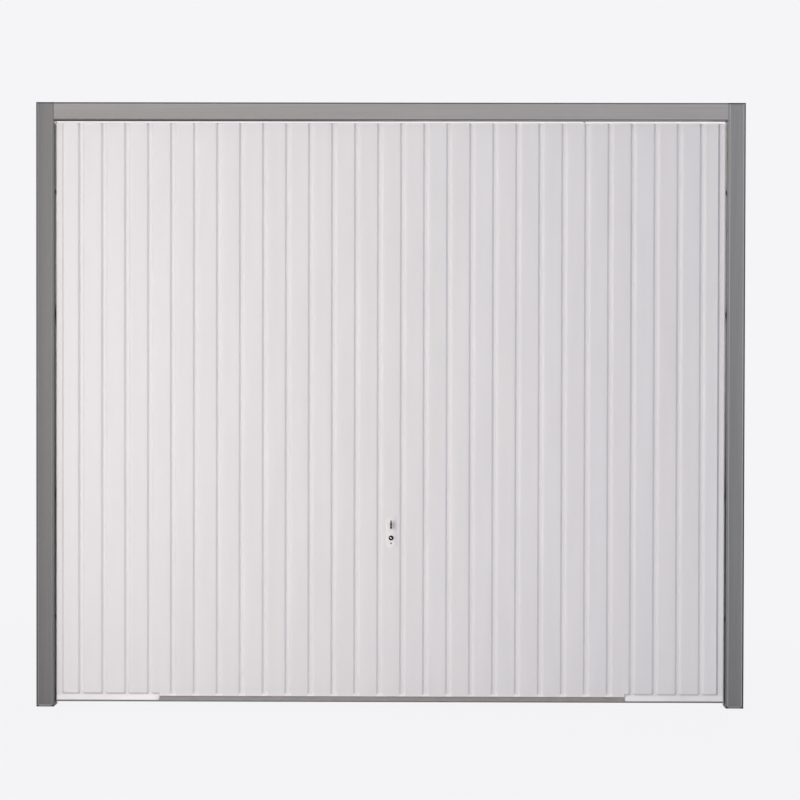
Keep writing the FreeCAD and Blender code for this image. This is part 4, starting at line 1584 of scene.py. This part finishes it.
@dataclass
class LockSet:
    """Plate, key cylinder and handle on the face, and the works behind it."""

    plate_round: float = 15.3
    slot_turn: float = -45.0
    plate_screw: float = 2.6  # radius of its head
    screw_drop: float = 18.6  # below the cylinder
    grip: Pair = (30.0, 10.4)
    grip_round: float = 4.4
    grip_rise: tuple[float, ...] = (-1.0, -0.55, -0.22, 0.1, 0.45, 1.0)
    grip_width: tuple[float, ...] = (0.55, 0.68, 0.42, 0.6, 0.46, 0.34)
    grip_tone: float = 5.0  # paler towards its top
    pale_from: float = 0.2
    case_round: float = 6.0
    case_screw: float = 4.0
    case_screws: Pair = (36.0, 51.0)  # across and up from the case's middle
    bar_round: float = 1.0
    guides: tuple[float, ...] = (420.0, 780.0, 1113.0)
    guide_wall: float = 1.5
    guide_half: float = 9.0
    guide_foot: float = 16.0
    guide_over: float = 1.3  # middle of the strip behind the bar
    guide_screw: float = 3.6
    guide_screws: float = 9.5  # above and below the bar

    def __post_init__(self) -> None:
        """Takes the handle's place from its joint and the key's height from the bars."""
        self.handle = joint_place("handle_turn")
        self.key = (*self.handle[:2], middle_of("right_lock_bar")[2])

    def cover(self) -> None:
        """Makes the plate on the leaf's face."""
        low, high = corners("escutcheon_plate")
        x, _, z = (low + high) / 2
        loops = [(high[1], 0), (high[1] - 2, 0), (low[1] + 0.3, 0.5), (low[1], 1.6)]
        made = plate(Axis.Y, loops, (high[2] - low[2], high[0] - low[0]), self.plate_round).at([(x, 0, z)])
        made.add("escutcheon", WHITE_PLASTIC, Body.LEAF, "escutcheon_plate")

    def cylinder(self) -> None:
        """Makes the key cylinder with its collar and slot, and the screw below it."""
        collar = [(0, 8.3), (0, 10), (-2.6, 9.8), (-3.2, 9.2), (-3.2, 8.3)]
        collar = turned(Axis.Y, collar, 40, ring=True).at([self.key])
        collar.add("key_collar", WHITE_PLASTIC, Body.LEAF)
        barrel = [(0, 8.4), (-4.8, 8.4), (-5.6, 8), (-6, 7.2), (-6, 6.8), (-5.2, 6.4), (-5.2, 0.6)]
        barrel = turned(Axis.Y, barrel, 40).at([self.key])
        barrel.add("key_cylinder", BLACK_COAT, Body.LEAF, "lock_cylinder")
        slot = plate(Axis.Y, [(-5, 0), (-5.9, 0), (-6, 0.2)], (8.0, 2.4), 1.1)
        slot.spun(Axis.Y, self.slot_turn).at([self.key]).add("key_slot", NICKEL, Body.LEAF)
        screw = rivet(Axis.Y, self.plate_screw, -1).at([np.array(self.key) - (0, 0, self.screw_drop)])
        screw.add("escutcheon_screw", BLACK_COAT, Body.LEAF)

    def pull(self) -> None:
        """Makes the handle: a waisted grip on a stem, its width read between a few places up its length."""
        loops = [(-12, 1.2), (-12.8, 0.2), (-14, 0), (-18, 0), (-19.8, 0.8), (-20.7, 2.2), (-21, 3.4)]
        grip = plate(Axis.Y, loops, self.grip, self.grip_round, straight=14)
        share = 2 * grip.points[:, 2] / self.grip[0]
        grip.points[:, 0] *= np.interp(share, self.grip_rise, self.grip_width)
        # Paler towards its top.
        grip.tone = self.grip_tone * np.clip(share - self.pale_from, 0, 1)
        stem = turned(Axis.Y, [(2.5, 3.4), (-2, 3.4), (-2.6, 2.8), (-12.6, 2.2)], 32)
        Shell.join(grip, stem).at([self.handle]).add("pull", BLACK_COAT, Body.HANDLE, "pull_handle")

    def guide(self) -> Shell:
        """The guides of the right bar: the section of a bent strip, carried a short way along the bar.

        Returns:
            The closed surfaces.
        """
        low, high = corners("right_lock_bar")
        rest, over = low[1] + self.guide_wall / 2, high[1] + self.guide_over
        below = [(rest, low[2] - self.guide_foot), (rest, low[2] - 3), (over, low[2] - 2)]
        above = [(over, high[2] + 2), (rest, high[2] + 3), (rest, high[2] + self.guide_foot)]
        section = bent_strip(below + above, self.guide_wall, 1.0)
        clip = carried(Axis.X, section, [-self.guide_half, self.guide_half])
        return clip.at([(x, 0, 0) for x in self.guides])

    def screws(self) -> Shell:
        """The screws of the case and the guides, and the plug over the key's works.

        Returns:
            The closed surfaces.
        """
        x, _, z = middle_of("lock_case")
        back = corners("lock_case")[1][1]
        across, up = self.case_screws
        case = [(x + dx, back, z + dz) for dx in (-across, across) for dz in (-up, up)]
        plug = turned(Axis.Y, [(-0.5, 10), (1.6, 10), (2.2, 9.2), (2.2, 1)], 32)
        plug = plug.at([(self.key[0], back, self.key[2])])
        low, high = corners("right_lock_bar")
        face = low[1] + self.guide_wall - 0.05
        rows = (low[2] - self.guide_screws, high[2] + self.guide_screws)
        heads = rivet(Axis.Y, self.guide_screw).at([(x, face, z) for x in self.guides for z in rows])
        return Shell.join(rivet(Axis.Y, self.case_screw).at(case), plug, heads.both_sides())

    def works(self) -> None:
        """Makes the cover of the works, the bars, the guides that the bars slide in and their screws."""
        low, high = corners("lock_case")
        x, _, z = (low + high) / 2
        loops = [(low[1], 0), (high[1] - 3, 0), (high[1] - 1, 0.8), (high[1], 3)]
        case = plate(Axis.Y, loops, (high[2] - low[2], high[0] - low[0]), self.case_round).at([(x, 0, z)])
        case.add("lock_cover", ZINC, Body.LEAF, "lock_case")
        for side in Side:
            node = f"{side.word}_lock_bar"
            low, high = corners(node)
            section = rounded_loop(high[1] - low[1], high[2] - low[2], self.bar_round) + middle_of(node)[1:]
            bar = carried(Axis.X, section, [low[0], high[0]])
            bar.add(f"{side.word}_sliding_bar", ZINC, Body.LEAF, node)
        self.guide().both_sides().add("bar_guides", GALVANISED, Body.LEAF)
        self.screws().add("lock_screws", ZINC, Body.LEAF)

    def build(self) -> None:
        """Makes and dresses the lock."""
        self.cover()
        self.cylinder()
        self.pull()
        self.works()


@dataclass(frozen=True)
class Lamp:
    """A soft rectangular lamp: its power, its place and the point it faces, its size and its colour."""

    watts: float
    place: Place
    aim: Place
    size: Pair
    colour: str

    def build(self, name: str) -> None:
        """Adds the lamp to the scene, upright and facing its aim.

        Args:
            name: the lamp's name.
        """
        light = bpy.data.lights.new(name, "AREA")
        light.shape = "RECTANGLE"
        light.size, light.size_y = self.size
        light.energy = self.watts
        light.color = to_linear(self.colour)[:3]
        made = add_object(name, light)
        back = np.array(self.place) - self.aim
        back = back / np.linalg.norm(back)
        right = np.cross((0, 0, 1), back)
        right = right / np.linalg.norm(right)
        turn = np.stack([right, np.cross(back, right), back], axis=1)
        made.matrix_world = Matrix.Translation(self.place) @ Matrix(turn.tolist()).to_4x4()


@dataclass
class Studio:
    """Floor, backdrop, light and camera. Lamps, camera and floor are placed in metres."""

    backdrop: str = "#f5f5f7"
    floor_colour: str = "#f3f3f4"
    floor_share: float = 0.95  # share of the floor near the door that shows the backdrop's colour
    floor_fade: Pair = (2.3, 4.5)
    floor_reach: Pair = (0.4, 60.0)
    floor_points: int = 64
    floor_rings: int = 24
    ambient: float = 0.508
    ambient_colour: str = "#f0f5ff"
    key: Lamp = Lamp(105.0, (-2.4, -3.9, -0.6), (4.5, 0.0, -1.0), (0.9, 3.0), "#fff4e9")
    fill: Lamp = Lamp(110.0, (1.5, 4.6, 0.4), (0.2, 0.0, -1.0), (3.5, 3.5), "#fff8f0")
    left: Lamp = Lamp(38.0, (-5.0, 0.7, -0.5), (-1.2, 0.0, -1.0), (2.4, 2.4), "#fff8f0")
    right: Lamp = Lamp(38.0, (5.0, 0.7, -0.5), (1.2, 0.0, -1.0), (2.4, 2.4), "#fff8f0")
    camera_place: Place = (0.076, -7.0134, -0.9081)
    yaw: float = -0.3483
    pitch: float = -0.7995
    roll: float = 0.1166
    focal_pixels: float = 2065.06
    image_pixels: float = 800.0
    sensor_width: float = 36.0
    clip_end: float = 200.0

    def world(self) -> None:
        """A plain surround: one level for the object's light, the backdrop's colour where it is seen."""
        made = bpy.data.worlds.new("surround")
        bpy.context.scene.world = made
        tree = empty_tree(made)
        rays = add_node(tree, "LightPath", {}, {}).outputs
        most = {"operation": "MAXIMUM"}
        seen = add_node(tree, "Math", most, {0: rays["Is Camera Ray"], 1: rays["Is Glossy Ray"]})
        seen = add_node(tree, "Math", most, {0: seen.outputs[0], 1: rays["Is Transmission Ray"]})
        level = {"Color": to_linear(self.ambient_colour), "Strength": self.ambient}
        light = add_node(tree, "Background", {}, level).outputs[0]
        level = {"Color": to_linear(self.backdrop), "Strength": 1.0}
        shown = add_node(tree, "Background", {}, level).outputs[0]
        mix = add_node(tree, "MixShader", {}, {0: seen.outputs[0], 1: light, 2: shown})
        add_node(tree, "OutputWorld", {}, {"Surface": mix.outputs[0]})

    def floor_paint(self) -> bpy.types.Material:
        """Matt paint that shows its shadow near the door and the backdrop's colour further off.

        Returns:
            The material.
        """
        paint = bpy.data.materials.new("matt_studio_floor")
        tree = empty_tree(paint)
        where = add_node(tree, "TexCoord", {}, {}).outputs["Object"]
        away = add_node(tree, "VectorMath", {"operation": "LENGTH"}, {0: where}).outputs["Value"]
        near, far = self.floor_fade
        reach = {0: away, 1: near, 2: far, 3: self.floor_share, 4: 1.0}
        fade = add_node(tree, "MapRange", {"interpolation_type": "SMOOTHSTEP"}, reach).outputs[0]
        camera = add_node(tree, "LightPath", {}, {}).outputs["Is Camera Ray"]
        seen = add_node(tree, "Math", {"operation": "MULTIPLY"}, {0: camera, 1: fade}).outputs[0]
        matt = add_node(tree, "BsdfDiffuse", {}, {"Color": to_linear(self.floor_colour)}).outputs[0]
        level = {"Color": to_linear(self.backdrop), "Strength": 1.0}
        glow = add_node(tree, "Emission", {}, level).outputs[0]
        mix = add_node(tree, "MixShader", {}, {0: seen, 1: matt, 2: glow})
        add_node(tree, "OutputMaterial", {}, {"Surface": mix.outputs[0]})
        return paint

    def floor(self) -> None:
        """A pale disc under the door, its rings further apart the further out they lie."""
        radius = np.geomspace(*self.floor_reach, self.floor_rings)[:, None] / MM
        angle = np.arange(self.floor_points) * 2 * np.pi / self.floor_points
        height = CAD_BOX[0][2] / MM
        rings = [radius * np.cos(angle), radius * np.sin(angle), radius * 0 + height + 0 * angle]
        shell = Shell.loft(np.stack(rings, axis=-1))
        shell.ends = [np.arange(self.floor_points)]
        made = add_object("floor", shell.mesh("floor", closed=False))
        made.data.materials.append(self.floor_paint())

    def camera(self) -> None:
        """A long lens straight in front, turned by a fraction of a degree as the photographed one was."""
        eye = bpy.data.cameras.new("camera")
        eye.sensor_width = self.sensor_width
        eye.lens = self.sensor_width * self.focal_pixels / self.image_pixels
        eye.clip_end = self.clip_end
        made = add_object("camera", eye)
        yaw, pitch, roll = (math.radians(part) for part in (self.yaw, self.pitch, self.roll))
        ahead = np.array([math.sin(yaw) * math.cos(pitch), math.cos(yaw) * math.cos(pitch), math.sin(pitch)])
        right = np.array([math.cos(yaw), -math.sin(yaw), 0.0])
        up = np.cross(right, ahead)
        level = math.cos(roll) * right + math.sin(roll) * up
        upright = math.cos(roll) * up - math.sin(roll) * right
        turn = Matrix(np.stack([level, upright, -ahead], axis=1).tolist()).to_4x4()
        made.matrix_world = Matrix.Translation(self.camera_place) @ turn
        bpy.context.scene.camera = made

    def build(self) -> None:
        """Sets the stage."""
        self.world()
        self.floor()
        self.key.build("key")
        self.fill.build("fill")
        self.left.build("left_side")
        self.right.build("right_side")
        self.camera()
        bpy.context.scene.view_settings.view_transform = "Standard"


def main() -> None:
    """Builds the door's looks, then the studio."""
    logging.basicConfig(level=logging.INFO, format="%(message)s")
    PressedSheet().build()
    RolledFrame().build()
    Counterbalance().build()
    LiftingGear().build()
    LeafChassis().build()
    LockSet().build()
    Studio().build()


if __name__ == "__main__":
    main()
